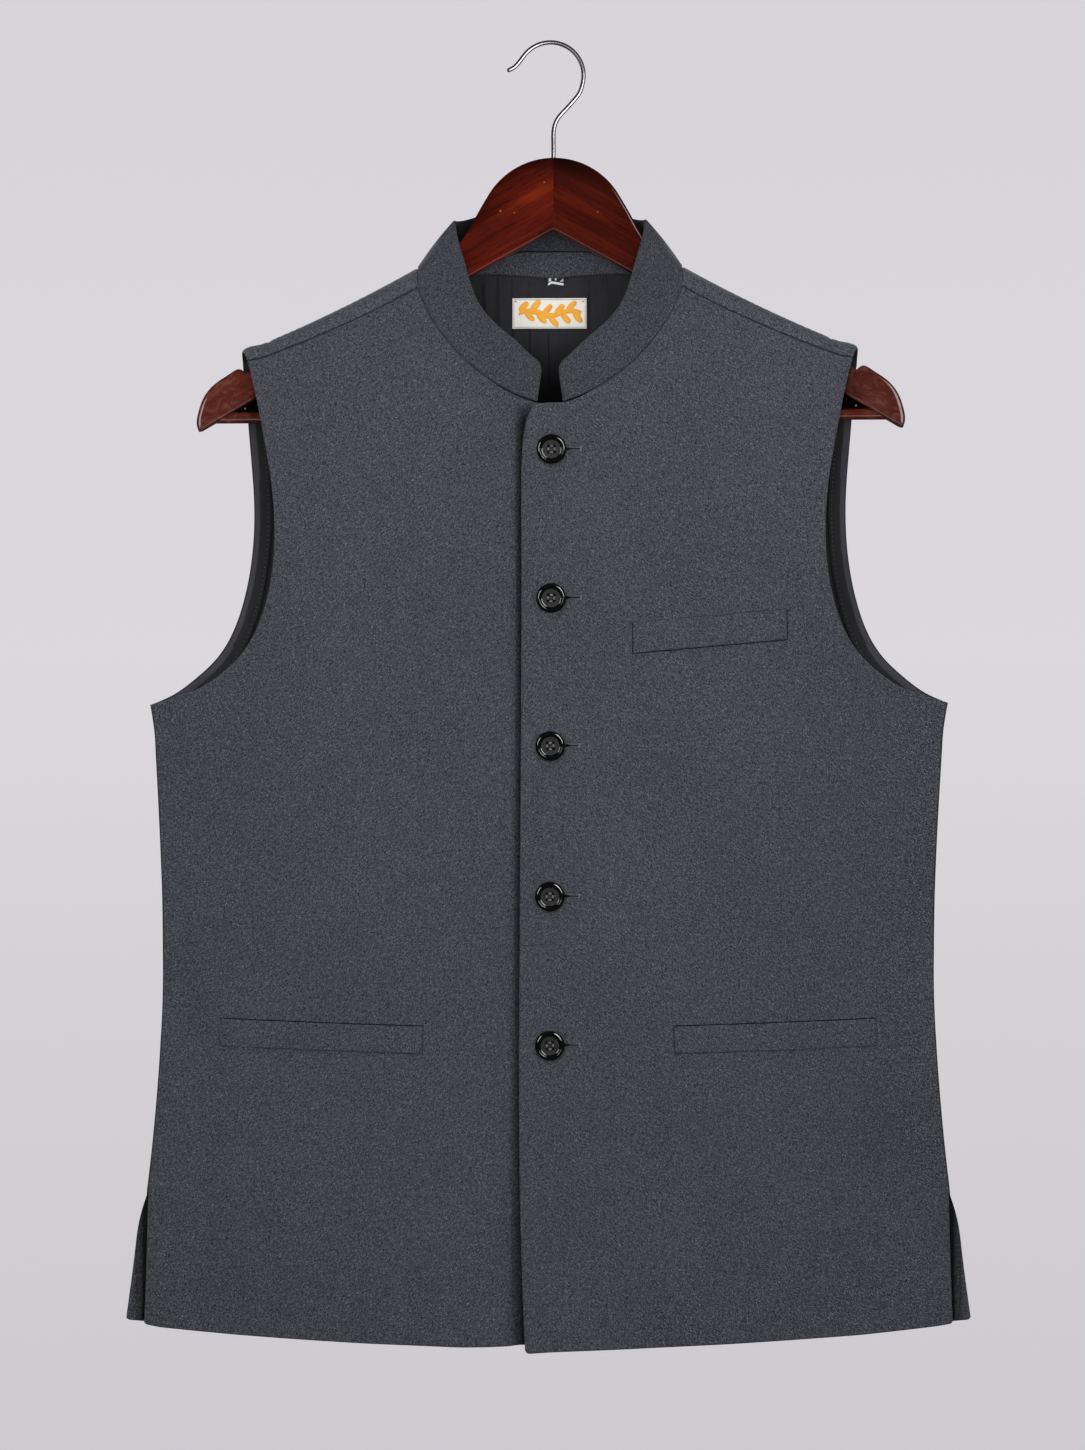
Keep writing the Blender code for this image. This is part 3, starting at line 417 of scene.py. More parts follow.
def back_form(r, h):
    """r is below 0 on the wearer's right here, because the folds of the two halves differ."""
    point = on_form(r, h, BACK_VENT)
    z = point[..., 2]
    lifted = relief(r, z, BACK_FOLDS) + ripple(r, z, 3.3)
    point[..., 1] += calm(h) * lifted * fade(-h, 30.0, 60.0)
    return point


def inward(form, r, h):
    """Unit normals to the inside of the jacket."""
    step = 0.4
    across = form(r + step, h) - form(r - step, h)
    up = form(r, h + step) - form(r, h - step)
    return unit(np.cross(across, up))


def hang(point, side=1):
    """Pattern points on the hanger, in metres, on the wearer's left (side 1) or right (side -1)."""
    hold = fade(point[..., 2], LEAN_FADES_TO, LEAN_FADES_FROM)
    x = side * point[..., 0] + BODY_X + LEAN_X * hold
    return np.stack([x, point[..., 1], point[..., 2] + LEAN_TILT * hold * x], axis=-1) * MM


def front_spot(x, z):
    """Pattern point of a place on a front."""
    return x, float(unroll(np.array(x), np.array(z)))


def back_spot(x, z):
    """Pattern point of a place on the back."""
    return x, -float(unroll(np.array(x), np.array(z)))


# ------------------------------------------------------------------ meshes


def in_scene(name, data):
    """A new object with this data, in the scene."""
    thing = bpy.data.objects.new(name, data)
    bpy.context.scene.collection.objects.link(thing)
    return thing


def mesh_of(bm, name, *looks):
    mesh = bpy.data.meshes.new(name)
    bm.to_mesh(mesh)
    bm.free()
    for look in looks:
        mesh.materials.append(look)
    return mesh


def turned(profile, steps):
    """A surface turned about Z, from points of radius and height."""
    bm = bmesh.new()
    turn = 2.0 * math.pi * np.arange(steps) / steps
    rings = []
    for radius, height in profile:
        angles = turn if radius else turn[:1]
        rings.append([bm.verts.new((radius * math.cos(a), radius * math.sin(a), height)) for a in angles])
    for low, high in zip(rings, rings[1:]):
        for i in range(steps):
            j = (i + 1) % steps
            corners = (low[i % len(low)], high[i % len(high)], high[j % len(high)], low[j % len(low)])
            bm.faces.new(list(dict.fromkeys(corners)))
    return bm


def add_mesh(name, verts, faces, kinds, looks, flow=None):
    """A smooth piece. In cloth, points that coincide are joined; flow is their place on the flat cloth."""
    sizes = np.array([len(face) for face in faces])
    loops = np.concatenate(faces)
    mesh = bpy.data.meshes.new(name)
    mesh.vertices.add(len(verts))
    mesh.vertices.foreach_set("co", verts.ravel())
    mesh.loops.add(len(loops))
    mesh.loops.foreach_set("vertex_index", loops.astype(np.int32))
    mesh.polygons.add(len(sizes))
    mesh.polygons.foreach_set("loop_start", np.concatenate(([0], np.cumsum(sizes)[:-1])).astype(np.int32))
    mesh.polygons.foreach_set("loop_total", sizes.astype(np.int32))
    for look in looks:
        mesh.materials.append(look)
    mesh.polygons.foreach_set("material_index", np.asarray(kinds, dtype=np.int32))
    if flow is not None:
        mesh.attributes.new("weave", "FLOAT_VECTOR", "POINT").data.foreach_set("vector", flow.ravel())
    mesh.update(calc_edges=True)
    if flow is not None:
        bm = bmesh.new()
        bm.from_mesh(mesh)
        bmesh.ops.remove_doubles(bm, verts=bm.verts[:], dist=2e-6)
        bm.to_mesh(mesh)
        bm.free()
    mesh.validate()
    mesh.shade_smooth()
    return in_scene(name, mesh)


# Distances from an edge of cloth to the rows of points beside it
EDGE = np.array((0.0, 0.15, 0.4, 0.75, 1.15, 1.6, 2.3))
# The least share of a step off an edge that is taken to be square to it
LEAST_SLANT = 0.25


def with_fine_ends(path_a, path_b, first=True, last=True):
    """Row numbers of two paired paths, with more rows near each end that is an edge."""
    count = len(path_a)

    def spacing(i, j):
        return 0.5 * (np.linalg.norm(path_a[i] - path_a[j]) + np.linalg.norm(path_b[i] - path_b[j]))

    head = EDGE / spacing(1, 0) if first else np.zeros(1)
    tail = EDGE / spacing(-1, -2) if last else np.zeros(1)
    inside = np.arange(0, count, dtype=float)
    inside = inside[(inside > head[-1] + 0.4) & (inside < count - 1 - tail[-1] - 0.4)]
    return np.concatenate((head, inside, (count - 1 - tail)[::-1]))


def taken(path, positions):
    return read_path(path, np.arange(len(path)), positions)


def lattice(outer, inner, shares, rows):
    """r and h (or z) between an outer and an inner path, with more columns near both."""
    outer, inner = taken(outer, rows), taken(inner, rows)
    across = inner - outer
    width = np.linalg.norm(across, axis=1)
    slants = []
    for path in (outer, inner):
        tangent = unit(np.gradient(path, axis=0))
        slant = np.abs(tangent[:, 0] * across[:, 1] - tangent[:, 1] * across[:, 0]) / width
        slants.append(np.maximum(slant, LEAST_SLANT))
    near = EDGE[None, :] / (width * slants[0])[:, None]
    far = 1.0 - EDGE[None, ::-1] / (width * slants[1])[:, None]
    low, high = near[:, -1:], far[:, :1]
    middle = low + (high - low) * shares[None, 1:-1]
    t = np.hstack((near, middle, far))
    points = outer[:, None, :] + across[:, None, :] * t[..., None]
    return points[..., 0], points[..., 1]


def edge_profile(points, meets, rounds):
    """How full the wall is near its edges, 0 at an edge, and where its faces meet there.

    meets gives, for the first and last column and the first and last row, 0.5 where the cloth is turned
    over, 1 where it dips into a seam and nan where there is no edge.
    """
    n, m = points.shape[:2]
    along = np.linalg.norm(np.diff(points, axis=1), axis=2)
    up = np.linalg.norm(np.diff(points, axis=0), axis=2)
    run = np.concatenate((np.zeros((n, 1)), np.cumsum(along, axis=1)), axis=1)
    rise = np.concatenate((np.zeros((1, m)), np.cumsum(up, axis=0)), axis=0)

    def slant(border, leaving):
        """Share of the way off a border that is square to it."""
        square = np.cross(unit(np.gradient(border, axis=0)), unit(leaving))
        return np.maximum(np.linalg.norm(square, axis=1), LEAST_SLANT)

    k = min(8, m - 1)
    q = min(8, n - 1)
    spans = (
        run * slant(points[:, 0], points[:, k] - points[:, 0])[:, None],
        (run[:, -1:] - run) * slant(points[:, -1], points[:, -1 - k] - points[:, -1])[:, None],
        rise * slant(points[0], points[q] - points[0])[None, :],
        (rise[-1:] - rise) * slant(points[-1], points[-1 - q] - points[-1])[None, :],
    )
    meet = np.full((n, m), 0.5)
    nearest = np.full((n, m), np.inf)
    for number, (span, kind) in enumerate(zip(spans, meets)):
        kind = np.asarray(kind, dtype=float)
        if kind.ndim:
            kind = kind[:, None] if number < 2 else kind[None, :]
        kind = np.broadcast_to(kind, (n, m))
        span = np.where(np.isnan(kind), np.inf, span)
        closer = span < nearest
        nearest = np.where(closer, span, nearest)
        meet = np.where(closer, np.nan_to_num(kind, nan=0.5), meet)
    free, seam = rounds
    radius = free + (meet - 0.5) / 0.5 * (seam - free)
    part = np.clip(nearest / radius, 0.0, 1.0)
    full = np.sqrt(np.maximum(1.0 - (1.0 - part) ** 2, 0.0))
    return full, meet


def wall(points, normals, thickness, meets=(0.5, 0.5, 0.5, 0.5), rounds=(1.3, 0.8)):
    """Outer and inner faces of a wall whose outer face follows the given points."""
    full, meet = edge_profile(points, meets, rounds)
    hollow = (1.0 - full)[..., None]
    meet = meet[..., None]
    outer = points + normals * thickness * meet * hollow
    inner = points + normals * thickness * (1.0 - (1.0 - meet) * hollow)
    return outer, inner


class Cloth:
    """Gathers walls into one piece of cloth."""

    def __init__(self):
        self.verts, self.faces, self.kinds, self.flow, self.count = [], [], [], [], 0

    def lay(self, wall_faces, r, h, side=1, kinds=None):
        """Adds both faces of a wall whose points lie at r and h on the pattern.

        kinds is the number of the look at each point of the inner face; the outer face has the first.
        """
        outer, inner = (hang(face, side).reshape(-1, 3) for face in wall_faces)
        flow = np.stack([side * r, -h, np.zeros_like(r)], axis=-1).reshape(-1, 3) * MM
        index = np.arange(r.size).reshape(r.shape)
        corners = (index[:-1, :-1], index[:-1, 1:], index[1:, 1:], index[1:, :-1])
        quads = np.stack(corners, axis=-1).reshape(-1, 4)
        turn = np.cross(outer[quads[:, 2]] - outer[quads[:, 0]], outer[quads[:, 3]] - outer[quads[:, 1]])
        if (turn * (outer - inner)[quads[:, 0]]).sum() < 0.0:
            quads = quads[:, ::-1]
        plain = np.zeros(len(quads), dtype=int)
        lined = plain if kinds is None else kinds[:-1, :-1].ravel().astype(int)
        for sheet, faces, numbers in ((outer, quads, plain), (inner, quads[:, ::-1], lined)):
            self.verts.append(sheet)
            self.flow.append(flow)
            self.faces.append(faces + self.count)
            self.kinds.append(numbers)
            self.count += r.size

    def patch(self, form, r, h, depth, thickness, rounds, side=1, kinds=None):
        """Adds a wall whose outer face lies at a depth inside a form, below 0 outside it."""
        normals = inward(form, r, h)
        faces = wall(form(r, h) + normals * depth, normals, thickness, rounds=(rounds, rounds))
        self.lay(faces, r, h, side, kinds)

    def piece(self, name, *looks):
        verts, faces, flow = (np.vstack(rows) for rows in (self.verts, self.faces, self.flow))
        return add_mesh(name, verts, faces, np.concatenate(self.kinds), looks, flow)


def tube(points, radius, segments=8):
    """Points and faces of a round bar along a path, with rounded ends."""
    along = unit(np.gradient(points, axis=0))
    last = len(points) - 1
    rings = [(points[0] - along[0] * radius * math.cos(a), math.sin(a), 0) for a in (0.35, 0.9)]
    rings += [(point, 1.0, i) for i, point in enumerate(points)]
    rings += [(points[-1] + along[-1] * radius * math.cos(a), math.sin(a), last) for a in (0.9, 0.35)]
    side = np.cross(along[0], (0.0, 1.0, 0.0) if abs(along[0, 1]) < 0.9 else (1.0, 0.0, 0.0))
    turn = 2.0 * math.pi * np.arange(segments) / segments
    verts = []
    for centre, share, i in rings:
        side = unit(side - along[i] * side.dot(along[i]))
        other = np.cross(along[i], side)
        ring = np.cos(turn)[:, None] * side + np.sin(turn)[:, None] * other
        verts.append(centre + radius * share * ring)
    faces = []
    for low in range(0, (len(rings) - 1) * segments, segments):
        high = low + segments
        for b in range(segments):
            c = (b + 1) % segments
            faces.append((low + b, low + c, high + c, high + b))
    faces.append(tuple(range(segments))[::-1])
    faces.append(tuple(range((len(rings) - 1) * segments, len(rings) * segments)))
    return np.vstack(verts), faces


class Bits:
    """Gathers many small solids into one piece."""

    def __init__(self):
        self.verts, self.faces, self.kinds, self.count = [], [], [], 0

    def add(self, verts, faces, kind=0):
        self.verts.append(verts)
        self.faces += [np.array(face) + self.count for face in faces]
        self.kinds += [kind] * len(faces)
        self.count += len(verts)

    def thread(self, points, radius, kind=0, segments=6):
        self.add(*tube(points, radius, segments), kind)

    def along(self, form, r, h, depth, radius, kind=0):
        """A thread that follows a form at a depth inside it."""
        self.thread(hang(form(r, h) + inward(form, r, h) * depth), radius * MM, kind)

    def stitch(self, form, start, end, depth, radius, rise=0.25, kind=0):
        """A stitch between two pattern points at a depth inside the form, bowed out of the cloth."""
        share = np.linspace(0.0, 1.0, 5)
        r = start[0] + (end[0] - start[0]) * share
        h = start[1] + (end[1] - start[1]) * share
        bow = depth + (rise if depth > 1.0 else -rise) * np.sin(share * math.pi)
        self.along(form, r, h, bow[:, None], radius, kind)

    def piece(self, name, *looks):
        return add_mesh(name, np.vstack(self.verts), self.faces, self.kinds, looks)


# ------------------------------------------------------------------ looks


class Look:
    """A Principled material whose colour, roughness and bump come from procedural nodes."""

    def __init__(self, name, colour, roughness, **constants):
        self.material = bpy.data.materials.new(name)
        self.material.use_nodes = True
        self.tree = self.material.node_tree
        self.shader = self.tree.nodes["Principled BSDF"]
        constants.update({"Base Color": (*colour, 1.0), "Roughness": roughness})
        self.finish(**constants)

    def finish(self, **inputs):
        """Sets inputs of the shader, where _ in a key stands for a space."""
        for key, value in inputs.items():
            self.set(self.shader, key.replace("_", " "), value)
        return self.material

    def set(self, node, key, value):
        socket = node.inputs[key]
        if isinstance(value, bpy.types.NodeSocket):
            self.tree.links.new(value, socket)
        else:
            socket.default_value = value

    def node(self, kind, inputs=(), **settings):
        made = self.tree.nodes.new(kind)
        for key, value in settings.items():
            setattr(made, key, value)
        for key, value in dict(inputs).items():
            self.set(made, key, value)
        return made

    def weave(self):
        return self.node("ShaderNodeAttribute", attribute_name="weave").outputs["Vector"]

    def place(self):
        return self.node("ShaderNodeTexCoord").outputs["Object"]

    def axis(self, letter):
        """One coordinate of the place, in metres."""
        return self.node("ShaderNodeSeparateXYZ", {"Vector": self.place()}).outputs[letter]

    def mapped(self, vector, scale=(1, 1, 1), turn=(0, 0, 0), shift=(0, 0, 0)):
        inputs = {"Vector": vector, "Scale": scale, "Rotation": turn, "Location": shift}
        return self.node("ShaderNodeMapping", inputs).outputs["Vector"]

    def distance(self, vector, point):
        made = self.node("ShaderNodeVectorMath", {0: vector, 1: point}, operation="DISTANCE")
        return made.outputs["Value"]

    def noise(self, vector, scale, detail=2.0, roughness=0.5, distortion=0.0):
        inputs = {"Scale": scale, "Detail": detail, "Roughness": roughness, "Distortion": distortion}
        return self.node("ShaderNodeTexNoise", {"Vector": vector, **inputs}).outputs["Fac"]

    def stretched(self, vector, scale, *settings):
        """Noise drawn out along the axes whose scale is small."""
        return self.noise(self.mapped(vector, scale=scale), 1.0, *settings)

    def bands(self, vector, pitch, axis, **inputs):
        """Rows at a pitch in metres."""
        inputs = {key.replace("_", " "): value for key, value in inputs.items()}
        inputs = {"Vector": vector, "Scale": 0.314 / pitch, **inputs}
        return self.node("ShaderNodeTexWave", inputs, bands_direction=axis).outputs["Fac"]

    def math(self, operation, a, b=0.0, c=0.0):
        return self.node("ShaderNodeMath", {0: a, 1: b, 2: c}, operation=operation).outputs[0]

    def line(self, value, slope, start):
        return self.math("MULTIPLY_ADD", value, slope, start)

    def share(self, value, start, end):
        """0 where a value is at start, 1 where it is at end, in a straight line."""
        return self.line(value, 1.0 / (end - start), -start / (end - start))

    def blend(self, a, share, b):
        return self.line(a, share, self.math("MULTIPLY", b, 1.0 - share))

    def ramp(self, factor, *stops):
        made = self.node("ShaderNodeValToRGB", {"Fac": factor})
        band = made.color_ramp
        while len(band.elements) < len(stops):
            band.elements.new(0.5)
        for element, (at, colour) in zip(band.elements, stops):
            element.position = at
            element.color = (*colour, 1.0)
        return made.outputs["Color"]

    def mix(self, factor, a, b, blend="MIX"):
        inputs = {0: factor, 6: a, 7: b}
        return self.node("ShaderNodeMix", inputs, data_type="RGBA", blend_type=blend).outputs[2]

    def times(self, a, b, factor=1.0):
        return self.mix(factor, a, b, "MULTIPLY")

    def bump(self, height, strength, distance, normal=None):
        inputs = {"Height": height, "Strength": strength, "Distance": distance}
        if normal is not None:
            inputs["Normal"] = normal
        return self.node("ShaderNodeBump", inputs).outputs["Normal"]


def srgb(*rgb):
    return tuple(((v / 255.0 + 0.055) / 1.055) ** 2.4 if v > 10 else v / 255.0 / 12.92 for v in rgb)


def greys(*stops):
    return [(at, (value, value, value)) for at, value in stops]


def scaled(gain, *stops):
    return [(at, tuple(gain * v for v in colour)) for at, colour in stops]


def shades(colour, *stops):
    """Lighter and darker forms of one colour."""
    return [(at, tuple(gain * v for v in colour)) for at, gain in stops]


def twill(look, flow, pitch):
    """Height of a fine twill: short floats in slanting rows."""
    turned_flow = look.mapped(flow, turn=(0.0, 0.0, math.radians(58.0)))
    rows = look.bands(turned_flow, pitch, "X", Distortion=1.2, Detail=2.0, Detail_Scale=3.0)
    across = look.bands(flow, pitch * 0.8, "Y", Distortion=0.8, Detail=1.0)
    return look.line(across, 0.6, rows)


def lap_shade(look):
    """Darkness on the right front beside the left front's edge, below the collar."""
    nearness = look.share(look.axis("X"), -0.0280, -0.0175)
    stops = greys((0.0, 1.0), (0.35, 0.88), (0.54, 0.62), (0.67, 0.50), (0.8, 0.32), (0.9, 0.16))
    beside = look.ramp(nearness, *stops)
    lower = look.ramp(look.share(look.axis("Z"), -0.244, -0.256), *greys((0.0, 0.0), (1.0, 1.0)))
    return look.mix(lower, (1.0, 1.0, 1.0, 1.0), beside)


def vent_shade(look):
    """Darkness inside the vents, deepest beside the fronts' edges."""
    outward = look.math("ABSOLUTE", look.math("ADD", look.axis("X"), -BODY_X * MM))
    inner = greys((0.08, 0.07), (0.24, 0.16), (0.36, 0.42), (0.52, 0.54))
    outer = greys((0.60, 0.42), (0.68, 0.74), (1.0, 0.96))
    return look.ramp(look.share(outward, 0.2705, 0.2825), *inner, *outer)


def cloth_look(name, gain=1.0, darkness=None):
    """Worsted suiting of mixed grey-green and purple-grey fibres, in the shade that darkness gives."""
    look = Look(name, (0.06, 0.061, 0.07), 0.88, Sheen_Weight=0.22, Sheen_Roughness=0.35)
    look.finish(Specular_IOR_Level=0.16, Sheen_Tint=(0.75, 0.76, 0.82, 1.0))
    flow = look.weave()
    flecks = look.noise(flow, 900.0, 1.5, 0.5, 1.2)
    fine = look.noise(look.mapped(flow, shift=(0.31, 0.17, 0.0)), 1900.0, 0.0, 0.5, 0.4)
    fibres = scaled(
        gain,
        (0.34, (0.0115, 0.0094, 0.0172)),
        (0.43, (0.0215, 0.0198, 0.0303)),
        (0.50, (0.0367, 0.0372, 0.0470)),
        (0.57, (0.0575, 0.0622, 0.0712)),
        (0.68, (0.1020, 0.1135, 0.1190)),
    )
    colour = look.ramp(look.blend(fine, 0.35, flecks), *fibres)
    broad = look.ramp(look.noise(flow, 9.0, 3.0, 0.6), *greys((0.30, 0.94), (0.70, 1.05)))
    colour = look.times(colour, broad)
    if darkness is not None:
        dark = darkness(look)
        colour = look.times(colour, dark)
        look.finish(Sheen_Weight=look.times(dark, (0.20, 0.20, 0.20, 1.0)))
    raised = look.bump(twill(look, flow, 0.00085), 0.35, 0.00016, look.bump(flecks, 0.6, 0.0003))
    return look.finish(Base_Color=colour, Normal=raised)


def lining_look(name, gain=1.0):
    """Smooth dark lining with a faint satin weave, and painted shade that deepens low down behind the
    crossing of the collar.
    """
    look = Look(name, (0.012, 0.012, 0.015), 0.42, Specular_IOR_Level=0.15)
    flow = look.weave()
    threads = look.stretched(flow, (2600.0, 240.0, 1.0), 2.0)
    broad = look.stretched(flow, (60.0, 14.0, 1.0), 3.0)
    satin = scaled(gain, (0.32, (0.0132, 0.0134, 0.0168)), (0.66, (0.0210, 0.0213, 0.0259)))
    colour = look.ramp(look.blend(threads, 0.35, broad), *satin)
    # Painted shade: near the centre line the lining darkens as it goes down behind the crossing of the
    # collar.
    within = look.share(look.math("ABSOLUTE", look.axis("X")), 0.06, 0.03)
    within = look.math("MINIMUM", look.math("MAXIMUM", within, 0.0), 1.0)
    painted_shade = look.math("MULTIPLY", look.share(look.axis("Z"), -0.196, -0.230), within)
    colour = look.times(colour, look.ramp(painted_shade, *greys((0.0, 1.0), (1.0, 0.16))))
    raised = look.bump(threads, 0.2, 0.0001, look.bump(broad, 0.25, 0.0012))
    return look.finish(Base_Color=colour, Roughness=look.line(threads, 0.2, 0.36), Normal=raised)


def thread_look(name, colour, roughness=0.75, lay=4000.0, sheen=0.3):
    look = Look(name, colour, roughness, Sheen_Weight=sheen)
    ply = look.noise(look.place(), lay, 2.0)
    twisted = look.ramp(ply, *shades(colour, (0.35, 0.72), (0.65, 1.22)))
    return look.finish(Base_Color=twisted, Normal=look.bump(ply, 0.4, 0.0001))


def wood_look(name, turn, shift, gain=1.0, flecks=()):
    """Red-brown lacquered wood with its grain along one arm, and orange flecks where given in mm. Painted
    shade darkens the top of the dome and the wood outside an oval round the neck, and a painted pale sheen
    clouds the tips.
    """
    look = Look(name, (0.07, 0.012, 0.004), 0.5, Coat_Weight=1.0, Coat_Roughness=0.07)
    look.finish(Specular_IOR_Level=0.02)
    place = look.place()
    along = look.mapped(place, turn=(0.0, turn, 0.0), shift=shift)
    streaks = look.stretched(along, (7.0, 50.0, 120.0), 5.0, 0.6, 0.9)
    pores = look.stretched(along, (60.0, 700.0, 2000.0), 3.0, 0.6, 0.2)
    clouds = look.stretched(along, (14.0, 26.0, 30.0), 2.0, 0.5, 0.4)
    grain = scaled(
        gain,
        (0.28, (0.0380, 0.0018, 0.0003)),
        (0.42, (0.0660, 0.0036, 0.0004)),
        (0.55, (0.0960, 0.0066, 0.0006)),
        (0.74, (0.1330, 0.0135, 0.0009)),
    )
    body = look.ramp(streaks, *grain)
    body = look.times(body, look.ramp(clouds, (0.34, (0.52, 0.46, 0.42)), (0.62, (1.22, 1.24, 1.2))))
    body = look.times(body, look.ramp(pores, (0.36, (0.45, 0.38, 0.35)), (0.47, (1.0, 1.0, 1.0))), 0.85)
    # Painted shade: the wood darkens and turns bluer towards the top of the dome.
    crown = look.share(look.axis("Z"), -0.101, -0.079)
    body = look.times(body, look.ramp(crown, (0.0, (1.0, 1.0, 1.0)), (1.0, (0.42, 0.45, 0.6))))
    # Painted shade from the collar: the wood darkens outside an oval round the neck.
    oval = look.mapped(place, scale=(1.0 / 0.066, 0.0, 1.0 / 0.056))
    from_heart = look.distance(oval, (0.03, 0.0, -2.45))
    body = look.times(body, look.ramp(from_heart, (0.60, (1.0, 1.0, 1.0)), (1.0, (0.56, 0.50, 0.48))))
    # Painted pale sheen: a cloudy, browner mix of colours at both tips.
    outward = look.math("ABSOLUTE", look.axis("X"))
    at_tip = look.ramp(look.share(outward, 0.165, 0.215), *greys((0.0, 0.0), (1.0, 0.60)))
    mottle = look.stretched(along, (90.0, 90.0, 160.0), 4.0, 0.62, 1.4)
    painted_tip_sheen = (0.36, (0.052, 0.0100, 0.0060)), (0.50, (0.076, 0.0180, 0.0120)), (0.66, (0.128, 0.0440, 0.0350))
    body = look.mix(at_tip, body, look.ramp(mottle, *painted_tip_sheen))
    for x, z, radius in flecks:
        away = look.distance(look.mapped(place, scale=(1.0, 0.0, 1.0)), (x * MM, 0.0, z * MM))
        near = look.math("MULTIPLY", away, 0.5 / (radius * MM))
        body = look.mix(look.ramp(near, *greys((0.35, 1.0), (0.7, 0.0))), body, (0.45, 0.060, 0.006, 1.0))
    look.finish(Base_Color=body, Roughness=look.line(pores, 0.2, 0.4))
    raised = look.bump(pores, 0.05, 0.0002, look.bump(streaks, 0.03, 0.0006))
    return look.finish(Coat_Roughness=look.line(streaks, 0.06, 0.03), Normal=raised)


def chrome_look(name):
    look = Look(name, (0.62, 0.62, 0.64), 0.16, Metallic=1.0)
    spots = look.noise(look.place(), 70.0, 2.0)
    colour = look.ramp(spots, (0.3, (0.44, 0.44, 0.46)), (0.6, (0.52, 0.52, 0.54)))
    return look.finish(Base_Color=colour, Roughness=look.line(spots, 0.06, 0.26))


def socket_look(name):
    """Wood in the joint of the bar, coloured near black as painted shade."""
    look = Look(name, (0.0010, 0.0006, 0.0005), 0.8, Specular_IOR_Level=0.0)
    grain = look.stretched(look.place(), (60.0, 400.0, 700.0), 3.0)
    shade_tone = look.ramp(grain, (0.35, (0.0009, 0.0005, 0.0004)), (0.65, (0.0020, 0.0011, 0.0008)))
    return look.finish(Base_Color=shade_tone)


def plastic_look(name, colour, low, high, scale, coat, shine=0.5):
    """Moulded plastic with a slight mottle; its roughness varies between low and high."""
    look = Look(name, colour, low, Coat_Weight=coat, Coat_Roughness=0.05, Specular_IOR_Level=shine)
    mottle = look.noise(look.place(), scale, 3.0, 0.6)
    look.finish(Base_Color=look.ramp(mottle, *shades(colour, (0.35, 0.8), (0.65, 1.25))))
    return look.finish(Roughness=look.line(mottle, high - low, low), Normal=look.bump(mottle, 0.06, 0.0001))


def label_look(name, colour, pitch):
    """Woven ribbon with fine ribs."""
    look = Look(name, colour, 0.62, Sheen_Weight=0.25, Specular_IOR_Level=0.4)
    flow = look.weave()
    ribs = look.bands(flow, pitch, "Y", Distortion=0.4)
    both = look.blend(ribs, 0.4, look.stretched(flow, (3000.0, 500.0, 1.0), 2.0))
    woven = look.ramp(both, *shades(colour, (0.3, 0.80), (0.62, 1.05)))
    return look.finish(Base_Color=woven, Normal=look.bump(both, 0.35, 0.00015))


# Darker copy of the suiting for the collar: painted shade. The still darker copy inside the collar beside
# the hanger's neck is painted shade too.
COLLAR_LOOK = cloth_look("cloth_collar", 0.81)
COLLAR_SHADE_LOOK = cloth_look("cloth_collar_shade", 0.22)
CLOTH_LOOK = cloth_look("suiting")
UNDER_FRONT_LOOK = cloth_look("suiting_under_front", 1.0, lap_shade)
# Lighter copy of the suiting for the back: painted light.
BACK_LOOK = cloth_look("suiting_back", 1.12)
VENT_LOOK = cloth_look("suiting_vent", 1.0, vent_shade)
LINING_LOOK = lining_look("lining_satin")
ROLL_LOOK = lining_look("armhole_roll", 2.3)
DARK_THREAD = thread_look("thread_dark", (0.012, 0.012, 0.015), sheen=0.0)
GREY_THREAD = thread_look("thread_grey", (0.050, 0.052, 0.058), sheen=0.1)
ORANGE_THREAD = thread_look("thread_orange", (0.74, 0.34, 0.028), 0.5, 5200.0, 0.1)
CREAM_THREAD = thread_look("thread_cream", (0.20, 0.19, 0.175), sheen=0.1)
# Near black: the pocket bags in the welts' openings and the facing's seam, and painted shade round the
# welts, in the buttonholes, behind the buttons' holes, in the vents and beside the pleats.
OPENING_AND_SHADE_LOOK = thread_look("pocket_mouth", (0.004, 0.004, 0.005), 0.95, sheen=0.0)
LABEL_LOOK = label_look("label_ribbon", (0.66, 0.64, 0.60), 0.00045)
TAB_LOOK = label_look("tab_ribbon", (0.012, 0.012, 0.014), 0.0004)
RIM_LOOK = plastic_look("button_rim", (0.0016, 0.0016, 0.0019), 0.06, 0.11, 300.0, 0.3)
DISH_LOOK = plastic_look("button_dish", (0.0100, 0.0100, 0.0107), 0.50, 0.62, 420.0, 0.0, 0.2)
SOCKET_LOOK = socket_look("wood_socket")
BUTTONHOLE_THREAD = thread_look("thread_buttonhole", (0.055, 0.057, 0.065), sheen=0.1)
TACK_THREAD = thread_look("thread_tack", (0.105, 0.109, 0.117), sheen=0.1)
TAB_THREAD = thread_look("thread_tab", (0.62, 0.62, 0.64), sheen=0.1)
BUTTON_THREAD = thread_look("thread_button", (0.105, 0.108, 0.108), 0.8, sheen=0.1)
CHROME_LOOK = chrome_look("chrome_wire")
BRAD_LOOK = chrome_look("brad_steel")


# ------------------------------------------------------------------ fronts and back

# Rows of points up a panel, and the rows that the back has more of along its armhole
VENT_ROWS, SIDE_ROWS, ARM_ROWS, TOP_ROWS = 30, 96, 76, 50
RING_ROWS, ROLL_ROWS, EXTRA_ARM_ROWS, OVER_ROWS = 42, 36, 24, 18
FRONT_SHARES = np.linspace(0.0, 1.0, 96)
BACK_SHARES = np.linspace(0.0, 1.0, 72)
ARMHOLE_SPLIT_Z = -300.0
HEM_TURN_UP = 32.0
SIDE_TURNING = 3.0
VENT_SHADE_R = 262.0
VENT_SHADE_TOP_Z = VENT_TOP_Z + 4.0
FRONT_FACING_R = 58.0
LINING_BOTTOM_Z = -838.0
FRONT_CORNER, VENT_CORNER = 3.4, 2.2


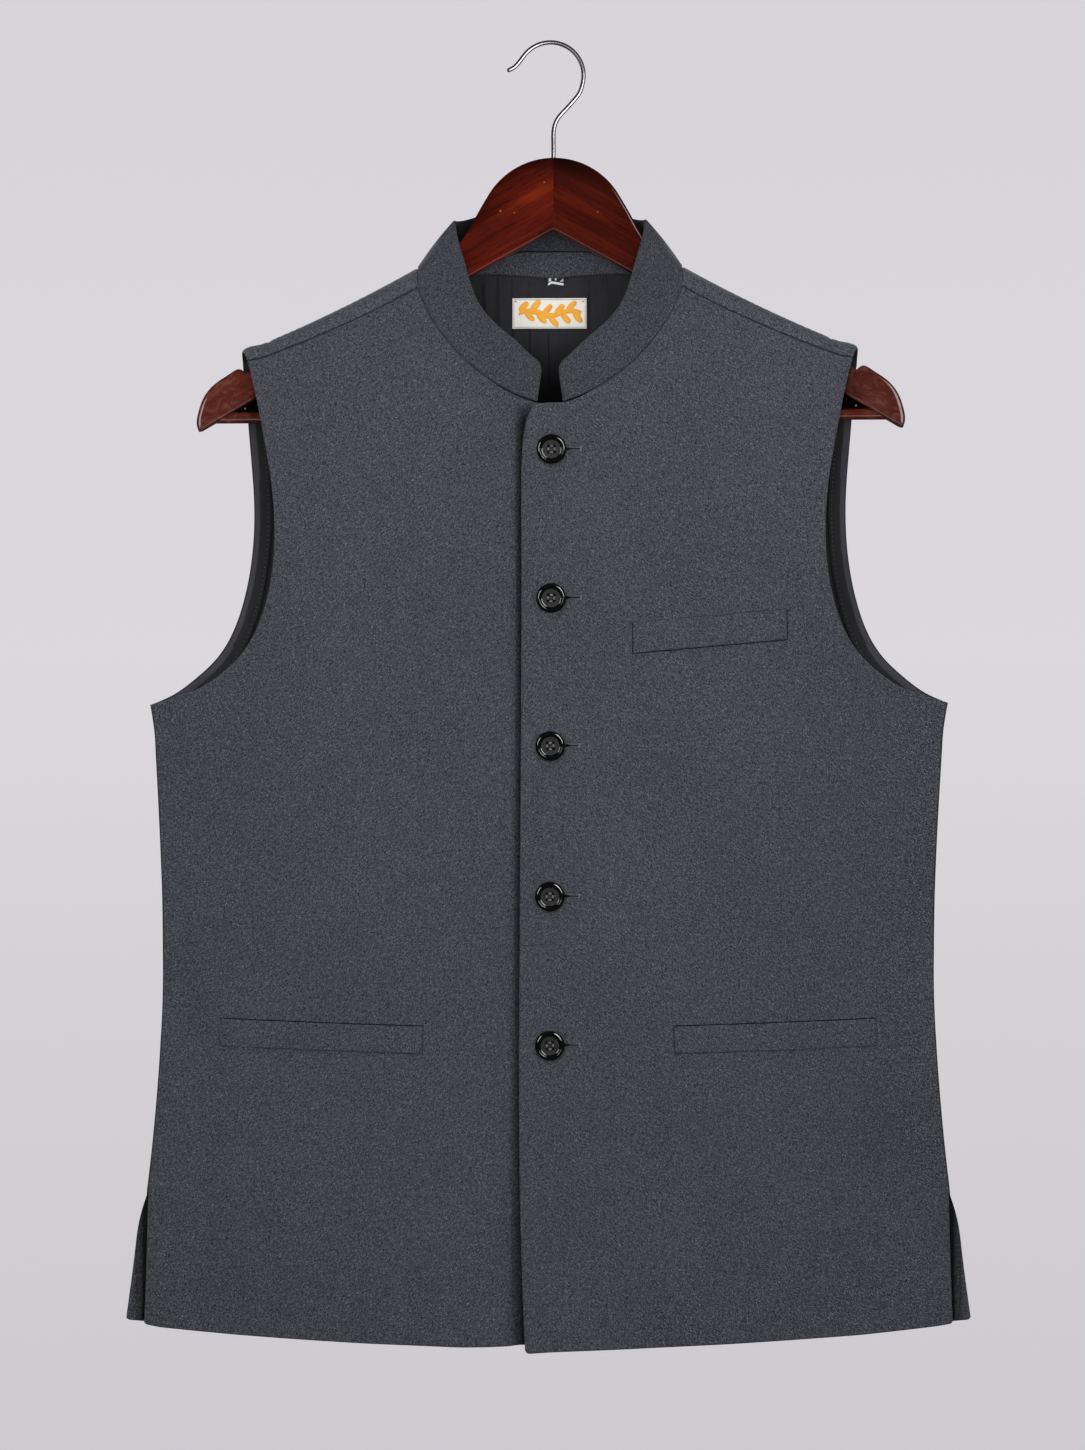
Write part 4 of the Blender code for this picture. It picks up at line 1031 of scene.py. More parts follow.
def blurred(values, reach):
    """Values along an edge, with sudden steps spread over the given number of rows on each side."""
    padded = np.pad(values, reach, mode="edge")
    return np.convolve(padded, np.full(2 * reach + 1, 1.0 / (2 * reach + 1)), mode="valid")


def nearest_row(path, z):
    return int(np.argmin(np.abs(path[:, 1] - z)))


def front_paths(edge_table, neck_end):
    armhole = cubic_through(FRONT_ARMHOLE, 400)
    split = nearest_row(armhole, ARMHOLE_SPLIT_Z)
    outer = joined(
        evenly(FRONT_VENT[::-1], VENT_ROWS + 1),
        cubic_through(SIDE_SEAM[::-1], SIDE_ROWS + 1),
        evenly(armhole[: split + 1], ARM_ROWS + 1),
        evenly(armhole[split:], TOP_ROWS + 1),
    )
    edge = cubic_through(edge_table, 600)
    at_vent, at_underarm = nearest_row(edge, VENT_TOP_Z), nearest_row(edge, UNDERARM_Z)
    neck = joined(np.array(neck_end), cubic_through(neck_end[1:] + NECK_SEAM, 300))
    inner = joined(
        evenly(edge[: at_vent + 1], VENT_ROWS + 1),
        evenly(edge[at_vent : at_underarm + 1], SIDE_ROWS + 1),
        evenly(edge[at_underarm:], ARM_ROWS + 1),
        evenly(neck, TOP_ROWS + 1),
    )
    return outer, inner


def rounded_corner(r, z, corner, sign, radius):
    """Pulls the points near a corner of the hem into a curve. sign is towards the cloth along r."""
    u = np.clip(1.0 - sign * (r - corner[0]) / radius, 0.0, 1.0)
    v = np.clip(1.0 - (z - corner[1]) / radius, 0.0, 1.0)
    near = (u > 0.0) & (v > 0.0)
    r = np.where(near, r + sign * radius * u * (1.0 - np.sqrt(1.0 - v * v / 2.0)), r)
    z = np.where(near, z + radius * v * (1.0 - np.sqrt(1.0 - u * u / 2.0)), z)
    return r, z


def seam_h(r):
    """Unrolled height of the shoulder seam, which lies forward of the crest."""
    (neck_r, neck_z), (shoulder_r, shoulder_z) = NECK_SEAM[-1], FRONT_ARMHOLE[-1]
    at_neck = unroll(np.array(neck_r), np.array(neck_z))
    at_shoulder = unroll(np.array(shoulder_r), np.array(shoulder_z))
    return at_neck + (at_shoulder - at_neck) * (r - neck_r) / (shoulder_r - neck_r)


def hem_to_vent(rows, low, table):
    """How far the rows up to the top of the vent move so that the lowest one follows the hem."""
    fade_out = np.clip(1.0 - rows / VENT_ROWS, 0.0, 1.0)[:, None]
    return fade_out * (np.interp(low[0], *table) - low[1])[None, :]


def seam_meets(rows):
    """How a panel's faces meet along its vent, its side seam and its armhole."""
    side_seam = (rows > VENT_ROWS) & (rows < VENT_ROWS + SIDE_ROWS)
    return 0.5 + 0.5 * blurred(side_seam.astype(float), 2)


def make_front(name, side, form, edge_table, neck_end, hem):
    outer, inner = front_paths(edge_table, neck_end)
    rows = with_fine_ends(outer, inner)
    r, z = lattice(outer, inner, FRONT_SHARES, rows)
    z = z + hem_to_vent(rows, (r[0], z[0]), columns_of(hem))
    r, z = rounded_corner(r, z, (r[0, -1], z[0, -1]), 1.0, FRONT_CORNER)
    r, z = rounded_corner(r, z, (r[0, 0], z[0, 0]), -1.0, VENT_CORNER)
    h = unroll(r, z)
    top = len(outer) - 1 - TOP_ROWS
    rise = np.clip((rows - top) / TOP_ROWS, 0.0, 1.0)[:, None]
    h = h + rise**2 * (seam_h(r[-1]) - h[-1])[None, :]
    neck_seam = (taken(inner, rows)[:, 0] > COLLAR_END_R) & (rows > top)
    meets = (seam_meets(rows), 0.5 + 0.5 * blurred(neck_seam.astype(float), 2), 0.5, 1.0)
    faces = wall(form(r, h), inward(form, r, h), CLOTH, meets)
    low = z < np.interp(r, *columns_of(hem)) + HEM_TURN_UP
    lined = ~((r < FRONT_FACING_R) | low | (r > side_r(z, FRONT_VENT) - SIDE_TURNING))
    cloth = Cloth()
    cloth.lay(faces, r, h, side, lined)
    return cloth.piece(name, CLOTH_LOOK if side > 0 else UNDER_FRONT_LOOK, LINING_LOOK)


def ring_h(r):
    """Unrolled height of the neck seam across the back."""
    return -unroll(r, ring_z(r))


def back_ring(count):
    r = np.linspace(0.0, NECK_SIDE_R, 200)
    h = ring_h(r)
    h[-1] = 0.0
    return evenly(np.column_stack((r, h)), count)


def unrolled_back(path):
    path = np.asarray(path, dtype=float)
    return np.column_stack((path[:, 0], -unroll(path[:, 0], path[:, 1])))


def back_paths():
    below = joined(
        cubic_through(BACK_VENT[::-1], VENT_ROWS + 1),
        cubic_through(SIDE_SEAM[::-1], SIDE_ROWS + 1) + np.array((BACK_SIDE_OVERHANG, 0.0)),
        cubic_through(BACK_ARMHOLE, ARM_ROWS + EXTRA_ARM_ROWS + 1),
    )
    shoulder_r = FRONT_ARMHOLE[-1][0]
    roll = [back_spot(*BACK_ARMHOLE[-1]), (SHOULDER_R, 0.0), (shoulder_r, float(seam_h(shoulder_r)) - SEAM)]
    outer = joined(unrolled_back(below), cubic_through(roll, ROLL_ROWS + 1))
    heights = (BACK_HEM[0][1], VENT_TOP_Z, UNDERARM_Z, BACK_NECK_Z)
    spans = zip(heights, heights[1:], (VENT_ROWS, SIDE_ROWS, ARM_ROWS))
    centre = joined(*(evenly(((0.0, low), (0.0, high)), count + 1) for low, high, count in spans))
    ring = back_ring(RING_ROWS + 1)
    neck_r = NECK_SEAM[-1][0]
    over = evenly((ring[-1], (neck_r, float(seam_h(neck_r)) - SEAM)), OVER_ROWS + 1)
    return outer, joined(unrolled_back(centre), ring, over)


def make_back():
    outer, inner = back_paths()
    rows = with_fine_ends(outer, inner)
    cloth = Cloth()
    at_neck = rows > VENT_ROWS + SIDE_ROWS + ARM_ROWS - 0.5
    hem_r, hem_z = columns_of(BACK_HEM)
    for side in (1, -1):
        r, h = lattice(outer, inner, BACK_SHARES, rows)
        h = h + hem_to_vent(rows, (r[0], h[0]), (hem_r, -unroll(hem_r, hem_z)))
        r, h = rounded_corner(r, h, (r[0, 0], h[0, 0]), -1.0, VENT_CORNER)
        r[~at_neck, -1] = 0.0
        r = side * r
        points = back_form(r, h)
        meets = (seam_meets(rows), np.where(at_neck, 1.0, np.nan), 0.5, 1.0)
        z = points[..., 2]
        in_vent = (np.abs(r) > VENT_SHADE_R) & (z < VENT_SHADE_TOP_Z)
        kinds = np.where(in_vent, 2, np.where(z > LINING_BOTTOM_Z, 1, 0))
        cloth.lay(wall(points, inward(back_form, r, h), CLOTH, meets), r, h, 1, kinds)
    return cloth.piece("back_cloth", BACK_LOOK, LINING_LOOK, VENT_LOOK)


# ------------------------------------------------------------------ collar

COLLAR_BACK_Y = 24.0
COLLAR_BACK_Z = -100.7
COLLAR_GAP = 0.45
COLLAR_BULGE = 0.9
COLLAR_FRONT_ROWS, COLLAR_BACK_ROWS = 96, 62
COLLAR_COLUMNS = 26
COLLAR_ROUNDS = (1.7, 0.9)
# Where the collar lies on the flat cloth, and where the hanger's neck stands inside it
COLLAR_FLAT_H = -300.0
WOOD_FROM_X = 50.0
WOOD_ABOVE_Z = -152.0


def collar_paths(form):
    """Neck seam and free edge of half the collar, from the front end to the centre back."""
    path = cubic_through(NECK_SEAM, 240)
    seam = form(path[:, 0], unroll(path[:, 0], path[:, 1]))
    neck_r = NECK_SEAM[-1][0]
    over = evenly(((neck_r, float(seam_h(neck_r))), (NECK_SIDE_R, 0.0)), 40)
    front = evenly(np.vstack((seam, on_form(over[1:, 0], over[1:, 1], BACK_VENT))), COLLAR_FRONT_ROWS)
    ring = back_ring(240)[::-1]
    low = joined(front, evenly(on_form(ring[:, 0], ring[:, 1], BACK_VENT), COLLAR_BACK_ROWS))
    high_front = cubic_through(COLLAR_TOP, COLLAR_FRONT_ROWS)[:, (0, 2, 1)]
    turn = np.linspace(0.0, math.pi / 2.0, 200)
    top_r, top_z, _ = COLLAR_TOP[-1]
    rise = (COLLAR_BACK_Z - top_z) * np.sin(turn) ** 3
    quarter = np.column_stack((top_r * np.cos(turn), COLLAR_BACK_Y * np.sin(turn), top_z + rise))
    return low, joined(high_front, evenly(quarter, COLLAR_BACK_ROWS))


def surface_normals(points):
    return unit(np.cross(np.gradient(points, axis=0), np.gradient(points, axis=1)))


def make_collar():
    cloth = Cloth()
    shares = np.linspace(0.0, 1.0, COLLAR_COLUMNS)[None, 1:-1]
    for side, form in ((1, left_front), (-1, right_neck)):
        low, high = collar_paths(form)
        rows = with_fine_ends(low, high, True, False)
        low, high = taken(low, rows), taken(high, rows)
        height = np.linalg.norm(high - low, axis=1)
        base = low + COLLAR_GAP * ((high - low) / height[:, None])
        height = height - COLLAR_GAP
        near = EDGE[None, :] / height[:, None]
        far = 1.0 - near[:, ::-1]
        middle = near[:, -1:] + (far[:, :1] - near[:, -1:]) * shares
        t = np.hstack((near, middle, far))
        points = base[:, None, :] + (high - base)[:, None, :] * t[..., None]
        bulge = COLLAR_BULGE * np.sin(math.pi * t) ** 0.8
        points = points + surface_normals(points) * bulge[..., None]
        points[-1, :, 0] = 0.0
        normals = -surface_normals(points)
        normals[-1, :, 0] = 0.0
        normals[-1] = unit(normals[-1])
        faces = wall(points, normals, COLLAR, (1.0, 0.5, 0.5, np.nan), COLLAR_ROUNDS)
        for face in faces:
            face[-1, :, 0] = 0.0
        run = run_of(base)
        beside_wood = (np.abs(points[..., 0]) > WOOD_FROM_X) & (points[..., 2] > WOOD_ABOVE_Z)
        flat_r, flat_h = run[:, None] + 0.0 * t, COLLAR_FLAT_H - height[:, None] * t
        cloth.lay(faces, flat_r, flat_h, side, beside_wood)
    return cloth.piece("collar_cloth", COLLAR_LOOK, COLLAR_SHADE_LOOK)


# ------------------------------------------------------------------ inside the back

FACING_DROP = 1.2
BAND_FROM, BAND_TO = 0.8, 12.0
ROLL_WIDTH = 3.8
LINING_EDGE = 13.8
LINING_SIDE_INSET = 14.0
LINING_SIDE_TOP_Z = -495.0
LINING_SIDE_ROWS, LINING_ARM_ROWS, LINING_TOP_ROWS = 64, 84, 50


def facing_depth(r):
    return np.interp(np.abs(r), *columns_of(FACING_DEPTH))


def facing_edge_z(r):
    return ring_z(r) - FACING_DROP - facing_depth(r)


def fine_shares(edge, count):
    """Shares from 0 to 1, closer together near both ends."""
    return np.concatenate((edge, np.linspace(edge[-1], 1.0 - edge[-1], count)[1:-1], (1.0 - edge)[::-1]))


def make_neck_facing():
    r = np.linspace(FACING_END_R, -FACING_END_R, 110)
    shares = fine_shares(EDGE / 15.0, 12)
    top = ring_z(r) - FACING_DROP
    above = 1.9 * fade(np.abs(r), 56.0, 46.0)
    z = top[None, :] + above[None, :] - (facing_depth(r) + above)[None, :] * (1.0 - shares)[:, None]
    r = np.broadcast_to(r, z.shape)
    cloth = Cloth()
    cloth.patch(back_form, r, -unroll(r, z), FACING_AT, FACING, 0.7)
    return cloth.piece("neck_facing_cloth", CLOTH_LOOK)


def inset(path, distance):
    along = unit(np.gradient(path, axis=0))
    return path + distance * np.column_stack((-along[:, 1], along[:, 0]))


def armhole_band(near, far, count):
    path = cubic_through(BACK_ARMHOLE, 300)
    path = path[int(np.argmax(path[:, 0] < BACK_ARMHOLE[0][0] - 9.0)) :]
    return evenly(inset(path, near), count), evenly(inset(path, far), count)


def make_armhole_facing(name, side):
    outer, inner = (unrolled_back(path) for path in armhole_band(BAND_FROM, BAND_TO, 90))
    r, h = lattice(outer, inner, np.linspace(0.0, 1.0, 8), with_fine_ends(outer, inner))
    r = side * r
    rolled = np.hypot(r - r[:, :1], h - h[:, :1]) < ROLL_WIDTH
    cloth = Cloth()
    cloth.patch(back_form, r, h, LINING_AT, ARMHOLE_FACING, 0.8, 1, rolled)
    return cloth.piece(name, LINING_LOOK, ROLL_LOOK)


def pleat_height(r, z):
    """Folds of the lining, sharp on one side, that grow below the facing and die out lower down."""
    total = np.zeros_like(r)
    for at, height, width, start, end in PLEATS:
        drift = r - at - PLEAT_DRIFT * (start - z)
        slope = 1.0 - np.clip(drift / width, 0.0, 1.0)
        top = np.minimum(start, facing_edge_z(at) - 1.0)
        fades = fade(z, top, top - 9.0) * fade(z, end, end + 0.45 * (start - end))
        total += height * fade(drift, -0.6, 0.0) * slope**1.5 * fades
    under_label = fade(np.abs(r), 32.0, 27.0) * fade(z, -196.0, -190.0) * fade(z, -161.0, -166.0)
    return total * (1.0 - 0.8 * under_label)


def lining_paths():
    _, armhole = armhole_band(BAND_FROM, LINING_EDGE, 240)
    seam = cubic_through(SIDE_SEAM[::-1], 240) - np.array((LINING_SIDE_INSET, 0.0))
    seam = seam[seam[:, 1] < LINING_SIDE_TOP_Z]
    side = evenly(np.vstack(((seam[0, 0], LINING_BOTTOM_Z), seam)), LINING_SIDE_ROWS + 1)
    outer = joined(side, evenly(np.vstack((side[-1:], armhole[16:])), LINING_ARM_ROWS + 1))
    r = np.linspace(0.0, FACING_END_R, 60)
    edge = np.column_stack((r, facing_edge_z(r) + 4.0))
    edge[:, 1] -= 5.5 * fade(r, 54.0, FACING_END_R)
    centre = joined(
        evenly(((0.0, LINING_BOTTOM_Z), (0.0, UNDERARM_Z)), LINING_SIDE_ROWS + 1),
        evenly(((0.0, UNDERARM_Z), (0.0, edge[0, 1])), LINING_TOP_ROWS + 1),
    )
    return outer, joined(centre, evenly(edge, len(outer) - len(centre) + 1))


def lining_point(r, h):
    point, normals = back_form(r, h), inward(back_form, r, h)
    return point + normals * (LINING_AT + pleat_height(r, point[..., 2]))[..., None], normals


def make_lining():
    outer, inner = lining_paths()
    rows = with_fine_ends(outer, inner)
    shares = np.concatenate((np.linspace(0.0, 0.80, 46)[:-1], np.linspace(0.80, 1.0, 56)))
    cloth = Cloth()
    on_centre = taken(inner, rows)[:, 0] < 1e-6
    meets = (0.5, np.where(on_centre, np.nan, 0.5), 0.5, 0.5)
    for side in (1, -1):
        r, z = lattice(outer, inner, shares, rows)
        r[on_centre, -1] = 0.0
        r = side * r
        h = -unroll(r, z)
        cloth.lay(wall(*lining_point(r, h), LINING, meets, (0.5, 0.5)), r, h)
    return cloth.piece("lining_cloth", LINING_LOOK)


# ------------------------------------------------------------------ flat patches on the cloth


def patch_grid(corners, columns, rows, grow=(0.0, 0.0, 0.0, 0.0)):
    """Pattern points between corners (top inner, top outer, bottom outer, bottom inner).

    grow moves the inner end, the outer end, the bottom and the top outwards.
    """
    top_in, top_out, low_out, low_in = (np.array(c, dtype=float) for c in corners)
    inner, outer, bottom, top = grow
    width = top_out[0] - top_in[0]
    height = 0.5 * (top_in[1] + top_out[1] - low_in[1] - low_out[1])
    u = -inner / width + fine_shares(EDGE[:6] / width, columns) * (1.0 + (inner + outer) / width)
    v = -bottom / height + fine_shares(EDGE[:6] / height, rows) * (1.0 + (bottom + top) / height)
    u, v = (grid[..., None] for grid in np.meshgrid(u, v))
    low = low_in + (low_out - low_in) * u
    high = top_in + (top_out - top_in) * u
    point = low + (high - low) * v
    return point[..., 0], point[..., 1]


WELT = 0.95
WELT_RISE = 1.25
WELT_SWELL = 0.25
MOUTH = 0.22
MOUTH_RISE = 0.30
HIP_LIPS = (0.35, 0.35, 0.2, 0.75)


def make_welt(name, side, form, corners):
    cloth = Cloth()
    r, z = patch_grid(corners, 70, 12)
    swell = np.sin(np.linspace(0.0, math.pi, len(r)))[:, None, None] * np.ones((*r.shape, 1))
    cloth.patch(form, r, unroll(r, z), -WELT_RISE - WELT_SWELL * swell, WELT, 0.75, side)
    return cloth.piece(name, CLOTH_LOOK)


def make_mouths():
    """Near-black plates under the pocket welts, each showing as wide as given at its four edges: the pocket
    bag in the opening and painted shade in the seams.
    """
    mouths = Cloth()
    for side, form, corners, lips in (
        (1, left_front, CHEST_WELT, (0.55, 0.55, 0.6, 0.35)),
        (1, left_front, HIP_WELT, HIP_LIPS),
        (-1, right_front, HIP_WELT, HIP_LIPS),
    ):
        r, z = patch_grid(corners, 70, 12, lips)
        mouths.patch(form, r, unroll(r, z), -MOUTH_RISE, MOUTH, 0.2, side)
    return mouths.piece("pocket_seams", OPENING_AND_SHADE_LOOK)


# ------------------------------------------------------------------ labels


STEM_HALF = 21.0
STEM_Z = -178.8
STEM_WAVE = 1.7
STEM_STITCHES = 150
LEAVES = 10
LEAF_START, LEAF_PITCH = -19.4, 4.1
LEAF_LENGTH, LEAF_HALF, LEAF_LEAN = 6.7, 3.1, 2.8
LEAF_STITCHES = 28


def sprig_z(x):
    """Height of the sprig's stem."""
    return STEM_Z + STEM_WAVE * np.sin((x + STEM_HALF) / (2.0 * STEM_HALF) * 3.0 * math.pi)


def make_label():
    """A woven ribbon with a sewn border and a plain leafy sprig."""
    cloth = Cloth()
    r, z = patch_grid(MAIN_LABEL, 44, 20)
    cloth.patch(back_form, r, -unroll(r, z), LABEL_AT, -LABEL, 0.35)
    label = cloth.piece("label_ribbon_piece", LABEL_LOOK)
    bits = Bits()

    def run(start, end, gap, radius, kind):
        """Stitches along a line between two places."""
        count = int(math.dist(start, end) / gap) * 2 + 1
        path = [back_spot(*point) for point in evenly((start, end), count)]
        for a, b in zip(path[:-1:2], path[1::2]):
            bits.stitch(back_form, a, b, LABEL_AT + 0.05, radius, 0.12, kind)

    (left, top), (right, low) = MAIN_LABEL[0], MAIN_LABEL[2]
    x0, x1, z0, z1 = left + 1.0, right - 1.0, top - 1.0, low + 1.0
    border = [(x0, z0), (x1, z0), (x1, z1), (x0, z1)]
    for a, b in zip(border, border[1:] + border[:1]):
        run(a, b, 0.85, 0.2, 1)
    for x in (left + 2.3, right - 2.3):
        run((x - 0.5, top - 2.3), (x + 0.5, top - 2.3), 0.5, 0.34, 2)

    def satin(x, z, across, up, radius, rise):
        """A thread laid over a point, reaching across and up on both sides of it."""
        ends = back_spot(x - across, z - up), back_spot(x + across, z + up)
        bits.stitch(back_form, *ends, LABEL_AT + 0.1, radius, rise)

    for x in np.linspace(-STEM_HALF, STEM_HALF, STEM_STITCHES):
        half = 1.75 + 0.25 * math.cos(x / 8.0)
        satin(x, sprig_z(x), half * math.sin(0.35), half * math.cos(0.35), 0.19, 0.42)
    for number in range(LEAVES):
        at = LEAF_START + LEAF_PITCH * number
        up = 1.0 if number % 2 == 0 else -1.0
        reach = LEAF_LENGTH - 0.5 * up * math.sin(at / 7.0)
        for share in np.linspace(0.0, 1.0, LEAF_STITCHES + 2)[1:-1]:
            half = LEAF_HALF * math.sin(math.pi * share) ** 0.6
            leaf_z = sprig_z(at) + up * (0.6 + reach * share)
            satin(at + LEAF_LEAN * share, leaf_z, half, 0.3 * up * half, 0.17, 0.38)
    return label, bits.piece("label_stitching", ORANGE_THREAD, CREAM_THREAD, DARK_THREAD)


def make_size_tab():
    """A small folded ribbon under the facing, with plain woven bars."""
    cloth = Cloth()
    r, z = patch_grid(SIZE_TAB, 20, 12)
    bow = 0.5 * np.sin(np.linspace(0.0, math.pi, r.shape[1]))[None, :, None] * np.ones((*r.shape, 1))
    back_layer, front_layer = TAB_LAYERS_AT
    for depth in (back_layer + 0.0 * bow, front_layer + bow):
        cloth.patch(back_form, r, -unroll(r, z), depth, -TAB_LAYER, 0.2)
    tab = cloth.piece("size_tab_piece", TAB_LOOK)
    bits = Bits()
    bars = [(-1.3, 9.2, -158.5 - 0.3 * k) for k in range(5)]
    bars += [(-0.9, 1.1 - 0.5 * (k == 2), -155.5 - 0.42 * k) for k in range(5)]
    bars += [(2.9, 5.0, -155.3 - 0.4 * k) for k in range(2)]
    bars += [(3.5, 4.4, -156.6)]
    bars += [(8.9 - 0.55 * k, 9.1, -155.4 - 0.42 * k) for k in range(5)]
    for start, end, z in bars:
        bits.stitch(back_form, back_spot(start, z), back_spot(end, z), front_layer + 0.1, 0.17, 0.5)
    return tab, bits.piece("size_tab_marks", TAB_THREAD)


# ------------------------------------------------------------------ buttons

BUTTON_PROFILE = (
    (0.0, 2.10), (2.0, 2.12), (4.0, 2.17), (5.4, 2.24), (6.1, 2.30), (6.45, 2.38), (6.75, 2.56),
    (7.05, 2.80), (7.35, 3.06), (7.6, 3.27), (7.85, 3.43), (8.1, 3.50), (8.4, 3.43), (8.7, 3.30),
    (9.0, 3.13), (9.3, 2.92), (9.6, 2.62), (9.85, 2.22), (9.98, 1.72), (9.92, 1.30), (9.7, 0.86),
    (9.3, 0.48), (8.7, 0.18), (8.0, 0.02), (6.0, 0.0), (3.0, 0.0), (0.0, 0.0),
)
BUTTON_STEPS = 72
DISH_RADIUS = 6.2
HOLE_OFFSET = 1.8
HOLE_RADIUS = 1.2
HOLES = [(x, z) for x in (-HOLE_OFFSET, HOLE_OFFSET) for z in (-HOLE_OFFSET, HOLE_OFFSET)]
DRILL_LENGTH = 12.0
BUTTON_TURNS = (0.0, 3.0, -2.0, 1.5, -3.5)
BUTTON_LIFT = 1.0
THREAD_HALF = 1.05
THREAD_OUT = 2.05
THREAD_RADIUS = 0.155
SLIT_START, SLIT_END = 6.0, 20.0
SLIT_STITCHES = 40
EYE_WIDE, EYE_GONE = 11.0, 15.0
TACK_HALF = 1.4


def button_mesh():
    """A turned disc with four holes, its back at y = 0 and its face to -Y."""
    bm = turned([(radius * MM, height * MM) for radius, height in BUTTON_PROFILE], BUTTON_STEPS)
    bmesh.ops.recalc_face_normals(bm, faces=bm.faces[:])
    for face in bm.faces:
        centre = face.calc_center_median()
        in_dish = centre.z > 2.0 * MM and math.hypot(centre.x, centre.y) < DISH_RADIUS * MM
        face.material_index = 1 if in_dish else 0
    blank = in_scene("button_blank", mesh_of(bm, "button_blank", RIM_LOOK, DISH_LOOK))
    bm = bmesh.new()
    drilled = {"radius1": HOLE_RADIUS * MM, "radius2": HOLE_RADIUS * MM, "depth": DRILL_LENGTH * MM}
    for x, y in HOLES:
        place = Matrix.Translation(Vector((x, y, 0.0)) * MM)
        bmesh.ops.create_cone(bm, cap_ends=True, segments=28, matrix=place, **drilled)
    drill = in_scene("button_drill", mesh_of(bm, "button_drill", RIM_LOOK))
    holes = blank.modifiers.new("holes", "BOOLEAN")
    holes.object = drill
    holes.operation = "DIFFERENCE"
    bpy.context.view_layer.update()
    graph = bpy.context.evaluated_depsgraph_get()
    made = bpy.data.meshes.new_from_object(blank.evaluated_get(graph))
    made.name = "button_turned"
    made.transform(Matrix.Rotation(math.pi / 2.0, 4, "X"))
    made.shade_smooth()
    made.set_sharp_from_angle(angle=math.radians(50.0))
    bpy.data.objects.remove(blank)
    bpy.data.objects.remove(drill)
    return made


def thread_mesh():
    """Thread laid side by side from each hole of a button to the next, and what fills the holes."""
    bits = Bits()
    along = np.linspace(-THREAD_HALF, THREAD_HALF, 11)
    lift = 1.15 + 1.3 * np.sqrt(1.0 - (along / 1.1) ** 2)
    for turn in range(4):
        angle = turn * math.pi / 2.0
        for number, shift in enumerate((-0.42, -0.14, 0.15, 0.43)):
            lean = 0.10 * math.sin(2.3 * number + 1.7 * turn)
            x, z = THREAD_OUT + shift + lean * along, along
            flat_x = x * math.cos(angle) - z * math.sin(angle)
            flat_z = x * math.sin(angle) + z * math.cos(angle)
            bits.thread(np.column_stack((flat_x, -lift, flat_z)) * MM, THREAD_RADIUS * MM)
    # Painted shade: a near-black disc behind each hole.
    for x, z in HOLES:
        bits.thread(np.array([(x, y, z) for y in (1.2, 1.25, 1.3)]) * MM, 1.25 * MM, 1, 16)
    piece = bits.piece("button_thread_blank", BUTTON_THREAD, OPENING_AND_SHADE_LOOK)
    mesh = piece.data
    bpy.data.objects.remove(piece)
    return mesh


def make_buttons():
    made = []
    parts = (("turned", button_mesh()), ("thread", thread_mesh()))
    for number, (z, angle) in enumerate(zip(BUTTON_Z, BUTTON_TURNS), start=1):
        r = np.array(BUTTON_X)
        cloth = hang(on_form(r, unroll(r, np.array(z)), FRONT_VENT))
        seat = Vector(cloth) + Vector((0.0, -BUTTON_LIFT * MM, 0.0))
        pair = [in_scene(f"button_{number}_{word}", mesh) for word, mesh in parts]
        for thing in pair:
            thing.location = seat
            thing.rotation_euler = (0.0, math.radians(angle), 0.0)
            made.append(thing)
    return made


def eye(x):
    """1 where a buttonhole is wide round the button's thread, 0 where it is narrow."""
    return 1.0 - fade(x, EYE_WIDE, EYE_GONE)


def make_buttonholes():
    """Worked slits running out from under the buttons, each with a bar at its end."""
    bits = Bits()
    form = left_front
    for number, button_z in enumerate(BUTTON_Z):
        z = button_z + 0.25
        end = SLIT_END + 0.3 * math.sin(2.0 * number)
        for row, side in enumerate((1.0, -1.0)):
            for i in range(SLIT_STITCHES):
                x = SLIT_START + (end - SLIT_START) * (i / (SLIT_STITCHES - 1))
                near = 0.32 + 0.85 * eye(x)
                lean = 0.10 * math.sin(3.1 * i + number + row)
                ends = front_spot(x, z + side * near), front_spot(x + lean, z + side * (near + 0.75))
                bits.stitch(form, *ends, -0.12, 0.17, 0.16, 0)
        for shift in (-0.36, 0.0, 0.36):
            x = end + 0.5 + shift
            ends = front_spot(x, z + TACK_HALF), front_spot(x, z - TACK_HALF)
            bits.stitch(form, *ends, -0.2, 0.18, 0.3, 1)
        # Painted shade: near-black cords fill the slit, widest round the button's thread.
        x = np.linspace(SLIT_START, end, 24)
        for shift in (-0.9, -0.6, -0.3, 0.0, 0.3, 0.6, 0.9):
            near = shift * eye(x) + 0.16 * np.sign(shift)
            bits.along(form, x, unroll(x, z + near), -0.16, 0.2, 2)
    return bits.piece("buttonholes", BUTTONHOLE_THREAD, TACK_THREAD, OPENING_AND_SHADE_LOOK)


# ------------------------------------------------------------------ small stitches

HEMMING_END_R = 60.0
NECK_SEAM_END_R = 52.0
PLEAT_SHADE_FOOT_Z = -238.0
ARM_STITCHES_AT = 9.6
ARM_STITCH_PITCH = 3.1
VENT_STITCHES_AT = 3.4
SIDE_THREAD_AT = 0.9
SIDE_THREAD_RADIUS = 0.75


